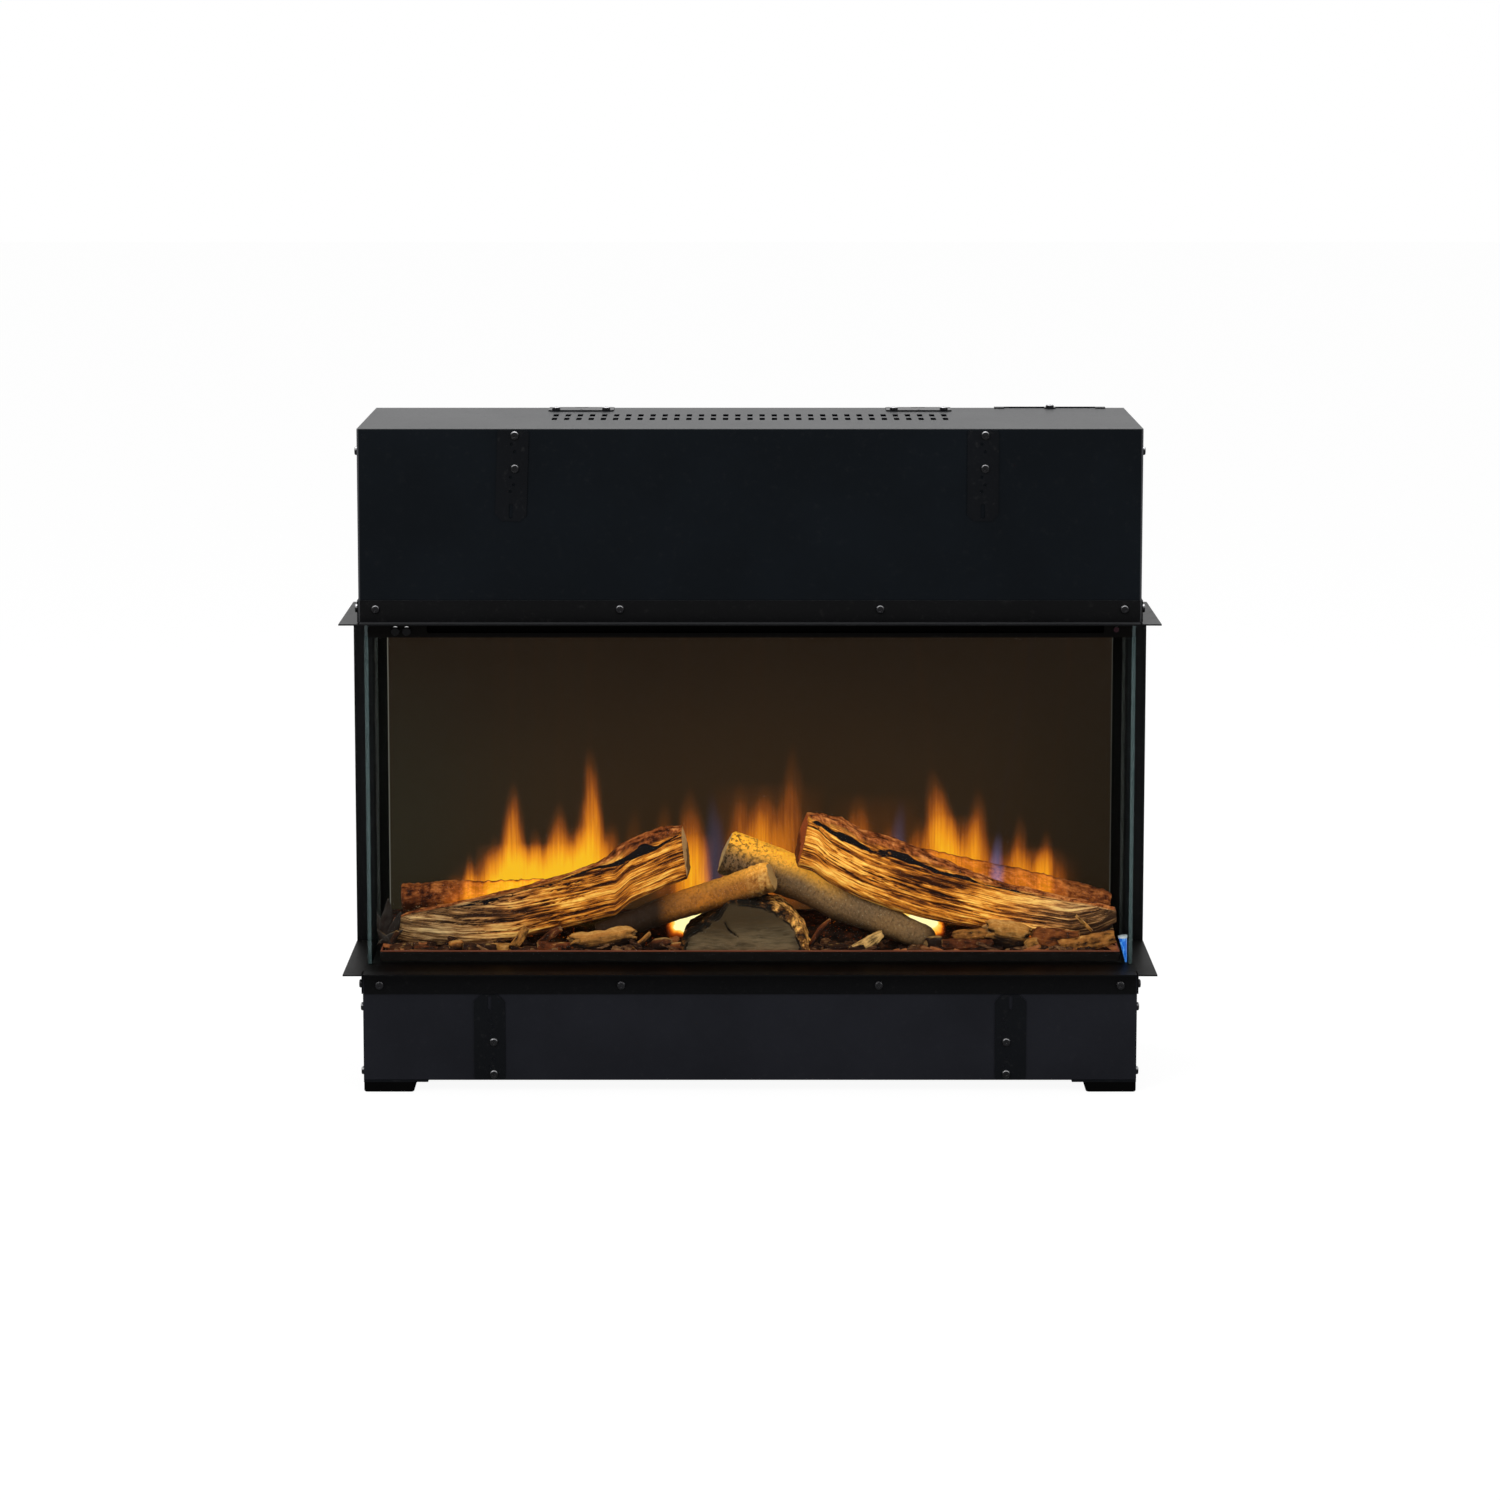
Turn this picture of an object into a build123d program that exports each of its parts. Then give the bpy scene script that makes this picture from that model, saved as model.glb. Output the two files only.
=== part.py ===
from build123d import *
import math
import os

# Built-in electric fire: a steel casing with glass on three sides, set into a wall opening.
# Millimetres. X runs along the width, the window faces -Y and Z is up.
# The origin is on the floor, at the middle of the overall width and depth.

# Driving sizes
casing_width = 830.0
casing_height = 714.0
casing_depth = 285.0
trim_reach = 20.0
gland_reach = 14.0
sill_level = 132.0
upper_box_height = 205.0
sheet = 1.2
trim_sheet = 1.5
glass_thickness = 4.0
glass_setback = 40.0
screen_rear_space = 85.0
window_rear_margin = 17.7

# Fits and small allowances shared by many pieces
soft_gap = 0.3
screw_clearance = 0.15
running_clearance = 0.05
bend_radius = 1.5
overrun = 3.0

# Planes that the pieces share
half_width = casing_width / 2
ceiling_level = casing_height - upper_box_height
screen_setback = casing_depth - screen_rear_space
window_depth = screen_setback - window_rear_margin
front_y = trim_reach - (trim_reach + casing_depth + gland_reach) / 2
rear_y = front_y + casing_depth
rear_inner_y = rear_y - sheet
side_inner_x = half_width - sheet
window_rear_y = front_y + window_depth
screen_y = front_y + screen_setback
ceiling_top = ceiling_level + sheet


def block(x0, x1, y0, y1, z0, z1, mode=Mode.ADD):
    """A rectangular block between two corners, joined to or cut from the open part."""
    with Locations(((x0 + x1) / 2, (y0 + y1) / 2, (z0 + z1) / 2)):
        Box(x1 - x0, y1 - y0, z1 - z0, mode=mode)


def drill_front(places, radius, y_from, depth):
    """Round holes along Y, from the plane y_from backwards, at (x, z) places."""
    with Locations(*[(x, y_from + depth / 2, z) for x, z in places]):
        Cylinder(radius, depth, rotation=(90, 0, 0), mode=Mode.SUBTRACT)


def drill_side(places, radius, x_from, x_to):
    """Round holes along X, between two planes, at (y, z) places."""
    with Locations(*[((x_from + x_to) / 2, y, z) for y, z in places]):
        Cylinder(radius, abs(x_to - x_from), rotation=(0, 90, 0), mode=Mode.SUBTRACT)


def drill_top(places, radius, z_from, depth):
    """Round holes along Z, from the plane z_from upwards, at (x, y) places."""
    with Locations(*[(x, y, z_from + depth / 2) for x, y in places]):
        Cylinder(radius, depth, mode=Mode.SUBTRACT)


def facing_front(x, y, z):
    return Plane(origin=(x, y, z), x_dir=(1, 0, 0), z_dir=(0, -1, 0))


def facing_rear(x, y, z):
    return Plane(origin=(x, y, z), x_dir=(1, 0, 0), z_dir=(0, 1, 0))


def facing_side(side, x, y, z):
    return Plane(origin=(side * x, y, z), x_dir=(0, 1, 0), z_dir=(side, 0, 0))


def facing_up(x, y, z):
    return Plane(origin=(x, y, z), x_dir=(1, 0, 0), z_dir=(0, 0, 1))


# Pan head screw, one size throughout, with its head on +Z and its seat at zero
screw_head_radius = 4.5
screw_head_height = 3.0
screw_head_round = 1.4
screw_shank_radius = 2.4
screw_shank_length = 9.0
screw_recess_radius = 1.8
screw_recess_depth = 1.5
screw_hole_radius = screw_shank_radius + screw_clearance

with BuildPart() as pan_screw:
    with BuildSketch():
        Circle(screw_head_radius)
    extrude(amount=screw_head_height)
    fillet(pan_screw.edges().filter_by(GeomType.CIRCLE).sort_by(Axis.Z)[-1], radius=screw_head_round)
    with BuildSketch(Plane.XY.offset(screw_head_height)):
        RegularPolygon(screw_recess_radius, side_count=6)
    extrude(amount=-screw_recess_depth, mode=Mode.SUBTRACT)
    with BuildSketch():
        Circle(screw_shank_radius)
    extrude(amount=-screw_shank_length)

# Screw places along the trims, shared by trims, casing and screws
trim_leg = 24.5
trim_screw_level = 15.0
trim_screw_corner = 18.0
trim_screw_inner_share = 0.3325
trim_screw_outer_x = half_width - trim_screw_corner
trim_screw_inner_x = half_width * trim_screw_inner_share
trim_screw_xs = [-trim_screw_outer_x, -trim_screw_inner_x, trim_screw_inner_x, trim_screw_outer_x]
side_screw_first = 10.0
side_screw_last = 140.0
side_screw_count = 3
side_screw_step = (side_screw_last - side_screw_first) / (side_screw_count - 1)
side_screw_ys = [front_y + side_screw_first + side_screw_step * i for i in range(side_screw_count)]
upper_trim_base = ceiling_level - trim_sheet
lower_trim_base = sill_level - trim_sheet
upper_trim_screw_z = upper_trim_base + trim_screw_level
lower_trim_screw_z = sill_level - trim_screw_level
upper_front_holes = [(x, upper_trim_screw_z) for x in trim_screw_xs]
lower_front_holes = [(x, lower_trim_screw_z) for x in trim_screw_xs]
upper_side_holes = [(y, upper_trim_screw_z) for y in side_screw_ys]
lower_side_holes = [(y, lower_trim_screw_z) for y in side_screw_ys]

# Feet: a thin plate under each corner and a rubber block under the plate
foot_block_height = 11.0
foot_block_width = 54.0
foot_block_depth = 60.0
foot_corner_radius = 4.0
foot_edge_round = 2.0
foot_plate_thickness = 2.0
foot_plate_width = 69.0
foot_plate_depth = 68.0
base_level = foot_block_height + foot_plate_thickness

# Wall brackets: flat drilled plates on the front, and two more on the top
bracket_sheet = 1.5
bracket_width = 33.0
bracket_screw_pitch = 35.0
bracket_root_margin = 5.5
bracket_slot_width = 4.5
bracket_slot_length = 16.0
bracket_hole_radius = 1.7
bracket_hole_offset = 3.5
bracket_near_hole = 9.0
bracket_far_hole = 17.0
bracket_third_hole = 24.0
bracket_root_radius = 2.5
bracket_end_cut = 7.0
bracket_screw_slack = 0.8
upper_bracket_length = 96.0
upper_bracket_slot_place = 80.0
upper_bracket_left_x = -250.5
upper_bracket_right_x = 246.0
upper_bracket_line_offset = 2.2
upper_bracket_tilt = 2.0
upper_bracket_drop = 7.0
bracket_trim_gap = 1.0
lower_bracket_slot_inset = 14.0
lower_bracket_x = 279.5
lower_bracket_line_offset = 4.5
lower_bracket_rise = 7.0
lower_bracket_base = base_level + lower_bracket_rise - bracket_root_margin
lower_bracket_length = sill_level - trim_leg - bracket_trim_gap - lower_bracket_base
lower_bracket_slot_place = lower_bracket_length - lower_bracket_slot_inset
top_bracket_length = 72.0
top_bracket_depth = 44.0
top_bracket_x = 186.0
top_bracket_rear_space = 52.0
top_bracket_setback = casing_depth - top_bracket_rear_space
top_bracket_screw_pitch = 55.0
top_bracket_screw_inset = 8.0
top_bracket_corner = 5.0
upper_bracket_screw_z = casing_height - upper_bracket_drop
lower_bracket_screw_z = base_level + lower_bracket_rise
upper_bracket_screw_xs = [
    upper_bracket_left_x + upper_bracket_line_offset,
    upper_bracket_right_x + upper_bracket_line_offset,
]
lower_bracket_screw_x = lower_bracket_x - lower_bracket_line_offset
upper_bracket_screws = [
    (x, upper_bracket_screw_z - bracket_screw_pitch * i) for x in upper_bracket_screw_xs for i in range(2)
]
lower_bracket_screws = [
    (side * lower_bracket_screw_x, lower_bracket_screw_z + bracket_screw_pitch * i)
    for side in (-1, 1)
    for i in range(2)
]
top_bracket_screw_y = front_y + top_bracket_setback + top_bracket_screw_inset
top_bracket_slot_y = front_y + top_bracket_setback + top_bracket_depth - top_bracket_screw_inset
top_bracket_screws = [
    (side * top_bracket_x + end * top_bracket_screw_pitch / 2, top_bracket_screw_y)
    for side in (-1, 1)
    for end in (-1, 1)
]

# Screws that hold the panels together, on the sides and at the back
panel_screw_front = 10.0
panel_screw_back = 200.0
upper_panel_screw_drop = 24.0
lower_panel_screw_rise = 9.0
lower_panel_screw_gap = 70.0
upper_panel_holes = [
    (front_y + place, casing_height - upper_panel_screw_drop)
    for place in (panel_screw_front, panel_screw_back)
]
lower_panel_holes = [
    (front_y + panel_screw_front, base_level + lower_panel_screw_rise + lower_panel_screw_gap * i)
    for i in range(2)
]
return_flange = 20.0
top_flange = 34.0
rear_flange = 15.0
rear_screw_x = half_width - sheet - rear_flange / 2
rear_screw_rise = 47.0
rear_screw_levels = [
    base_level + rear_screw_rise,
    (sill_level + ceiling_level) / 2,
    casing_height - rear_screw_rise,
]
rear_holes = [(side * rear_screw_x, z) for side in (-1, 1) for z in rear_screw_levels]

# Cable entry at the rear: a cover hooked over the top edge, with the gland through it
cover_width = 123.0
cover_end_inset = 21.0
cover_right_x = half_width - cover_end_inset
cover_left_x = cover_right_x - cover_width
cover_height = 78.0
cover_tab_width = 11.0
cover_tab_reach = 9.0
cover_centre_x = (cover_left_x + cover_right_x) / 2
cover_notch_margin = 16.0
cover_notch_depth = 4.5
cover_screw_tab = 12.0
cover_screw_tab_reach = 14.0
gland_radius = 8.0
gland_flange_radius = 11.0
gland_flange_thickness = 5.0
gland_bore_radius = 4.1
gland_nut_thickness = 5.0
gland_level = casing_height - cover_height / 2
cover_screw_y = rear_inner_y - cover_screw_tab_reach / 2

# Upper case: one bent sheet makes the front and the top, with flanges turned inwards
vent_width = 5.8
vent_length = 30.0
vent_pitch = 13.2
vent_count = 33
vent_corner = 1.0
vent_row_middle = 155.0
vent_row_pitch = 48.0

with BuildPart() as upper_case:
    with BuildSketch(Plane.YZ.offset(-half_width)):
        with BuildLine():
            Polyline(
                (front_y, ceiling_level),
                (front_y, casing_height),
                (rear_inner_y, casing_height),
                (rear_inner_y, casing_height - sheet),
                (front_y + sheet, casing_height - sheet),
                (front_y + sheet, ceiling_level),
                close=True,
            )
        make_face()
    extrude(amount=casing_width)
    fillet(upper_case.edges().filter_by(Axis.X).group_by(Axis.Z)[-1].sort_by(Axis.Y)[0], radius=bend_radius)
    for side in (-1, 1):
        flange_xs = sorted([side * side_inner_x, side * (side_inner_x - sheet)])
        block(
            *flange_xs,
            front_y + sheet,
            front_y + return_flange,
            ceiling_top + soft_gap,
            casing_height - sheet,
        )
        block(
            *flange_xs,
            front_y + return_flange,
            rear_inner_y - rear_flange,
            casing_height - top_flange,
            casing_height - sheet,
        )
    with BuildSketch(Plane.XY.offset(casing_height + overrun)):
        with Locations((0, front_y + vent_row_middle)):
            with GridLocations(vent_pitch, vent_row_pitch, vent_count, 2):
                RectangleRounded(vent_width, vent_length, vent_corner)
    extrude(amount=-(sheet + 2 * overrun), mode=Mode.SUBTRACT)
    for side in (-1, 1):
        notch_inner_x = cover_centre_x + side * cover_screw_tab / 2
        notch_outer_x = cover_centre_x + side * ((cover_right_x - cover_left_x) / 2 - cover_notch_margin)
        block(
            min(notch_inner_x, notch_outer_x),
            max(notch_inner_x, notch_outer_x),
            rear_inner_y - cover_notch_depth,
            rear_inner_y + overrun,
            casing_height - sheet - overrun,
            casing_height + overrun,
            mode=Mode.SUBTRACT,
        )
    drill_front(
        upper_front_holes + upper_bracket_screws, screw_hole_radius, front_y - overrun, sheet + 2 * overrun
    )
    drill_top(
        top_bracket_screws + [(cover_centre_x, cover_screw_y)],
        screw_hole_radius,
        casing_height - sheet - overrun,
        sheet + 2 * overrun,
    )
    for side in (-1, 1):
        drill_side(
            upper_panel_holes + upper_side_holes,
            screw_hole_radius,
            side * (side_inner_x - sheet - overrun),
            side * half_width,
        )


def side_panel(side, z0, z1, holes):
    """A flat side panel with a flange turned in behind, for one side of the casing."""
    with BuildPart() as panel:
        outer_xs = sorted([side * side_inner_x, side * half_width])
        flange_xs = sorted([side * (side_inner_x - rear_flange), side * half_width])
        block(*outer_xs, front_y + sheet, rear_inner_y, z0, z1)
        block(*flange_xs, rear_inner_y - sheet, rear_inner_y, z0, z1)
        drill_side(
            holes,
            screw_hole_radius,
            side * (side_inner_x - sheet - overrun),
            side * (half_width + overrun),
        )
        drill_front(rear_holes, screw_hole_radius, rear_inner_y - sheet - overrun, sheet + 2 * overrun)
    return panel.part


upper_panel_top = casing_height - sheet - soft_gap
with BuildPart() as upper_left_side:
    add(side_panel(-1, ceiling_level, upper_panel_top, upper_panel_holes + upper_side_holes))
with BuildPart() as upper_right_side:
    add(side_panel(1, ceiling_level, upper_panel_top, upper_panel_holes + upper_side_holes))
with BuildPart() as lower_left_side:
    add(side_panel(-1, base_level + sheet, lower_trim_base, lower_panel_holes + lower_side_holes))
with BuildPart() as lower_right_side:
    add(side_panel(1, base_level + sheet, lower_trim_base, lower_panel_holes + lower_side_holes))

# Lower case: front and bottom from one bent sheet
foot_places = [
    (side * (half_width - foot_block_width / 2), y)
    for side in (-1, 1)
    for y in (front_y + foot_block_depth / 2, rear_y - foot_block_depth / 2)
]
with BuildPart() as lower_case:
    with BuildSketch(Plane.YZ.offset(-half_width)):
        with BuildLine():
            Polyline(
                (front_y, lower_trim_base),
                (front_y, base_level),
                (rear_inner_y, base_level),
                (rear_inner_y, base_level + sheet),
                (front_y + sheet, base_level + sheet),
                (front_y + sheet, lower_trim_base),
                close=True,
            )
        make_face()
    extrude(amount=casing_width)
    fillet(lower_case.edges().filter_by(Axis.X).group_by(Axis.Z)[0].sort_by(Axis.Y)[0], radius=bend_radius)
    for side in (-1, 1):
        flange_xs = sorted([side * side_inner_x, side * (side_inner_x - sheet)])
        block(
            *flange_xs,
            front_y + sheet,
            front_y + return_flange,
            base_level + sheet,
            lower_trim_base - soft_gap,
        )
        drill_side(
            lower_panel_holes + lower_side_holes,
            screw_hole_radius,
            side * (side_inner_x - sheet - overrun),
            side * half_width,
        )
    drill_front(
        lower_front_holes + lower_bracket_screws, screw_hole_radius, front_y - overrun, sheet + 2 * overrun
    )
    drill_top(foot_places, screw_hole_radius, base_level - overrun, sheet + 2 * overrun)

# Sill plate: the floor of the fire chamber, lying on the lower box
with BuildPart() as sill_plate:
    block(-half_width, half_width, front_y, rear_inner_y, lower_trim_base, sill_level)

# Fascia channel above the glass: buttons at its left end, the warm air slot along the rest
fascia_setback = 33.0
fascia_height = 20.7
fascia_level = ceiling_level - fascia_height
fascia_channel_depth = 24.0
fascia_end_gap = 1.6
fascia_half_width = half_width - sheet - glass_thickness - fascia_end_gap
fascia_front_y = front_y + fascia_setback
fascia_rear_y = fascia_front_y + fascia_channel_depth
slot_left_inset = 63.2
slot_right_inset = 30.2
slot_bottom_drop = 16.0
slot_top_drop = 3.0
slot_left_x = slot_left_inset - fascia_half_width
slot_right_x = fascia_half_width - slot_right_inset
slot_bottom = ceiling_level - slot_bottom_drop
slot_top = ceiling_level - slot_top_drop
slot_corner = 2.0
button_inset = 29.7
button_pitch = 12.0
button_drop = 13.8
button_xs = [button_inset - fascia_half_width, button_inset + button_pitch - fascia_half_width]
button_level = ceiling_level - button_drop
button_radius = 4.9
button_hole_radius = button_radius + screw_clearance
receiver_inset = 17.2
receiver_drop = 12.0
receiver_x = fascia_half_width - receiver_inset
receiver_level = ceiling_level - receiver_drop
receiver_radius = 3.0
heater_half_width = 135.0
heater_slot_inset = 5.0
heater_slot_half = heater_half_width - heater_slot_inset

with BuildPart() as upper_ceiling:
    block(-side_inner_x, side_inner_x, front_y + sheet, rear_inner_y - sheet, ceiling_level, ceiling_top)
    block(
        -heater_slot_half,
        heater_slot_half,
        fascia_front_y + 2 * sheet,
        fascia_rear_y - 2 * sheet,
        ceiling_level - overrun,
        ceiling_top + overrun,
        mode=Mode.SUBTRACT,
    )

with BuildPart() as control_fascia:
    block(-fascia_half_width, fascia_half_width, fascia_front_y, fascia_rear_y, fascia_level, ceiling_level)
    block(
        -fascia_half_width + sheet,
        fascia_half_width - sheet,
        fascia_front_y + sheet,
        fascia_rear_y - sheet,
        fascia_level + sheet,
        ceiling_level + overrun,
        mode=Mode.SUBTRACT,
    )
    with BuildSketch(Plane.XZ.offset(-(fascia_front_y - overrun))):
        with Locations(((slot_left_x + slot_right_x) / 2, (slot_bottom + slot_top) / 2)):
            RectangleRounded(slot_right_x - slot_left_x, slot_top - slot_bottom, slot_corner)
    extrude(amount=-(sheet + 2 * overrun), mode=Mode.SUBTRACT)
    drill_front(
        [(x, button_level) for x in button_xs],
        button_hole_radius,
        fascia_front_y - overrun,
        sheet + 2 * overrun,
    )
    drill_front(
        [(receiver_x, receiver_level)],
        receiver_radius + running_clearance,
        fascia_front_y - overrun,
        sheet + 2 * overrun,
    )

# Push buttons: a domed cap in front, a retaining flange behind, a stem into the switch
button_reach = 3.2
button_dome = 1.6
button_flange_radius = 5.5
button_flange_thickness = 1.5
button_stem_radius = 2.0
button_travel = 1.5
switch_setback = 5.5
switch_size = 8.0
switch_depth = 5.0
switch_bore_depth = 3.0
switch_board_thickness = 1.6
switch_board_margin = 12.0
flange_face_y = fascia_front_y + sheet + soft_gap
switch_face_y = fascia_front_y + switch_setback
stem_end_y = switch_face_y + switch_bore_depth - button_travel - soft_gap


def push_button(x):
    """One push button, centred on its hole in the fascia."""
    with BuildPart() as button:
        with BuildSketch(facing_front(x, fascia_front_y - button_reach, button_level)):
            Circle(button_radius)
        extrude(amount=-(button_reach + sheet + soft_gap))
        fillet(button.edges().filter_by(GeomType.CIRCLE).sort_by(Axis.Y)[0], radius=button_dome)
        with BuildSketch(facing_front(x, flange_face_y, button_level)):
            Circle(button_flange_radius)
        extrude(amount=-button_flange_thickness)
        with BuildSketch(facing_front(x, flange_face_y, button_level)):
            Circle(button_stem_radius)
        extrude(amount=-(stem_end_y - flange_face_y))
    return button.part


with BuildPart() as standby_button:
    add(push_button(button_xs[0]))
with BuildPart() as heat_button:
    add(push_button(button_xs[1]))

with BuildPart() as switch_board:
    board_y = switch_face_y + switch_depth
    block(
        button_xs[0] - switch_board_margin,
        button_xs[1] + switch_board_margin,
        board_y,
        board_y + switch_board_thickness,
        fascia_level + sheet,
        slot_top,
    )
    for x in button_xs:
        block(
            x - switch_size / 2,
            x + switch_size / 2,
            switch_face_y,
            board_y,
            button_level - switch_size / 2,
            button_level + switch_size / 2,
        )
    drill_front(
        [(x, button_level) for x in button_xs],
        button_stem_radius + running_clearance,
        switch_face_y,
        switch_bore_depth,
    )

# Remote control receiver: a small round lens with its body against the ceiling
receiver_reach = 1.2
receiver_body_width = 8.0
receiver_body_depth = 6.0
with BuildPart() as remote_receiver:
    with BuildSketch(facing_front(receiver_x, fascia_front_y - receiver_reach, receiver_level)):
        Circle(receiver_radius)
    extrude(amount=-(receiver_reach + sheet))
    fillet(remote_receiver.edges().filter_by(GeomType.CIRCLE).sort_by(Axis.Y)[0], radius=receiver_reach / 2)
    block(
        receiver_x - receiver_body_width / 2,
        receiver_x + receiver_body_width / 2,
        fascia_front_y + sheet,
        fascia_front_y + sheet + receiver_body_depth,
        receiver_level - receiver_radius,
        ceiling_level,
    )

# Glass: the front pane stands under the fascia, the side panes run up past its ends
glass_end_gap = 1.0
glass_side_x = half_width - sheet - soft_gap - glass_end_gap
glass_top = fascia_level - soft_gap
glass_front_y = front_y + glass_setback
with BuildPart() as front_glass:
    block(-glass_side_x, glass_side_x, glass_front_y, glass_front_y + glass_thickness, sill_level, glass_top)
    chamfer(front_glass.edges().filter_by(Axis.Z), length=soft_gap)


def side_glass(side):
    """One side pane, from the front pane back to the rear post."""
    with BuildPart() as pane:
        pane_xs = sorted([side * (glass_side_x - glass_thickness), side * glass_side_x])
        block(
            *pane_xs,
            glass_front_y + glass_thickness + soft_gap,
            window_rear_y - soft_gap,
            sill_level,
            ceiling_level - soft_gap,
        )
        chamfer(pane.edges().filter_by(Axis.Z), length=soft_gap)
    return pane.part


with BuildPart() as left_glass:
    add(side_glass(-1))
with BuildPart() as right_glass:
    add(side_glass(1))

# Rear posts: bent sheets at the back corners of the window, that also hold the flame screen
post_lip = 6.0
post_slant_width = 9.0
screen_half_width = half_width - post_lip - post_slant_width - soft_gap
screen_thickness = 3.0


def rear_post(side):
    """One rear post: outer side, short lip, slanted return and rear flange."""
    lip_x = half_width - post_lip
    return_x = lip_x - post_slant_width
    return_y = screen_y + screen_thickness
    with BuildPart() as post:
        with BuildSketch(Plane.XY.offset(sill_level)):
            with BuildLine():
                Polyline(
                    (side * half_width, rear_inner_y),
                    (side * half_width, window_rear_y),
                    (side * lip_x, window_rear_y),
                    (side * return_x, return_y),
                    (side * (return_x + sheet), return_y),
                    (side * (lip_x + sheet / 2), window_rear_y + sheet),
                    (side * side_inner_x, window_rear_y + sheet),
                    (side * side_inner_x, rear_inner_y - sheet),
                    (side * (side_inner_x - rear_flange), rear_inner_y - sheet),
                    (side * (side_inner_x - rear_flange), rear_inner_y),
                    close=True,
                )
            make_face()
        extrude(amount=ceiling_level - sill_level)
        drill_front(rear_holes, screw_hole_radius, rear_inner_y - sheet - overrun, sheet + 2 * overrun)
    return post.part


with BuildPart() as left_post:
    add(rear_post(-1))
with BuildPart() as right_post:
    add(rear_post(1))

# Rear panel with the cable hole
with BuildPart() as rear_panel:
    block(-half_width, half_width, rear_inner_y, rear_y, base_level, casing_height)
    drill_front(rear_holes, screw_hole_radius, rear_inner_y - overrun, sheet + 2 * overrun)
    drill_front(
        [(cover_centre_x, gland_level)],
        gland_radius + screw_clearance,
        rear_inner_y - overrun,
        sheet + 2 * overrun,
    )

# Trims: bent angle strips round the window, one for each edge of the casing
trim_corner_gap = 1.5
with BuildPart() as upper_front_trim:
    with BuildSketch(Plane.YZ.offset(-(half_width - trim_corner_gap))):
        with BuildLine():
            Polyline(
                (front_y - trim_reach, upper_trim_base),
                (front_y, upper_trim_base),
                (front_y, upper_trim_base + trim_leg),
                (front_y - trim_sheet, upper_trim_base + trim_leg),
                (front_y - trim_sheet, ceiling_level),
                (front_y - trim_reach, ceiling_level),
                close=True,
            )
        make_face()
    extrude(amount=2 * (half_width - trim_corner_gap))
    drill_front(
        upper_front_holes,
        screw_hole_radius,
        front_y - trim_sheet - overrun,
        trim_sheet + 2 * overrun,
    )

with BuildPart() as lower_front_trim:
    with BuildSketch(Plane.YZ.offset(-(half_width - trim_corner_gap))):
        with BuildLine():
            Polyline(
                (front_y - trim_reach, sill_level),
                (front_y, sill_level),
                (front_y, sill_level - trim_leg),
                (front_y - trim_sheet, sill_level - trim_leg),
                (front_y - trim_sheet, lower_trim_base),
                (front_y - trim_reach, lower_trim_base),
                close=True,
            )
        make_face()
    extrude(amount=2 * (half_width - trim_corner_gap))
    drill_front(
        lower_front_holes,
        screw_hole_radius,
        front_y - trim_sheet - overrun,
        trim_sheet + 2 * overrun,
    )


def side_trim(side, flange_z0, leg_z0, leg_z1, holes):
    """One side angle: a flange standing out from the casing and a leg along its side."""
    flange_xs = sorted([side * half_width, side * (half_width + trim_reach)])
    leg_xs = sorted([side * half_width, side * (half_width + trim_sheet)])
    with BuildPart() as trim:
        block(
            *flange_xs,
            front_y - trim_reach,
            window_rear_y + trim_sheet,
            flange_z0,
            flange_z0 + trim_sheet,
        )
        block(*leg_xs, front_y, window_rear_y + trim_sheet, leg_z0, leg_z1)
        drill_side(holes, screw_hole_radius, side * half_width, side * (half_width + trim_sheet + overrun))
    return trim.part


upper_leg_top = upper_trim_base + trim_leg
lower_leg_bottom = sill_level - trim_leg
with BuildPart() as upper_left_trim:
    add(side_trim(-1, upper_trim_base, ceiling_level, upper_leg_top, upper_side_holes))
with BuildPart() as upper_right_trim:
    add(side_trim(1, upper_trim_base, ceiling_level, upper_leg_top, upper_side_holes))
with BuildPart() as lower_left_trim:
    add(side_trim(-1, lower_trim_base, lower_leg_bottom, lower_trim_base, lower_side_holes))
with BuildPart() as lower_right_trim:
    add(side_trim(1, lower_trim_base, lower_leg_bottom, lower_trim_base, lower_side_holes))

# Upright angles at the back of the side windows, the same piece turned for each side
rear_trim_leg = 22.0
with BuildPart() as rear_trims:
    for side in (-1, 1):
        flange_xs = sorted([side * half_width, side * (half_width + trim_reach)])
        leg_xs = sorted([side * half_width, side * (half_width + trim_sheet)])
        block(*flange_xs, window_rear_y, window_rear_y + trim_sheet, sill_level, upper_trim_base)
        block(*leg_xs, window_rear_y, window_rear_y + rear_trim_leg, sill_level, upper_trim_base)


# Wall brackets
def bracket_holes(line_offset, slot_place, direction):
    """Screw holes, small pilot holes and the end slot, measured from the first screw."""
    with Locations((line_offset, 0), (line_offset, direction * bracket_screw_pitch)):
        Circle(screw_hole_radius + bracket_screw_slack, mode=Mode.SUBTRACT)
    for start in (0, bracket_screw_pitch):
        with Locations(
            (line_offset - bracket_hole_offset, direction * (start + bracket_near_hole)),
            (line_offset, direction * (start + bracket_far_hole)),
        ):
            Circle(bracket_hole_radius, mode=Mode.SUBTRACT)
    with Locations(
        (line_offset - bracket_hole_offset, direction * (bracket_screw_pitch + bracket_third_hole)),
    ):
        Circle(bracket_hole_radius, mode=Mode.SUBTRACT)
    with Locations((0, direction * slot_place)):
        SlotOverall(bracket_slot_length, bracket_slot_width, rotation=90, mode=Mode.SUBTRACT)


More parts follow.
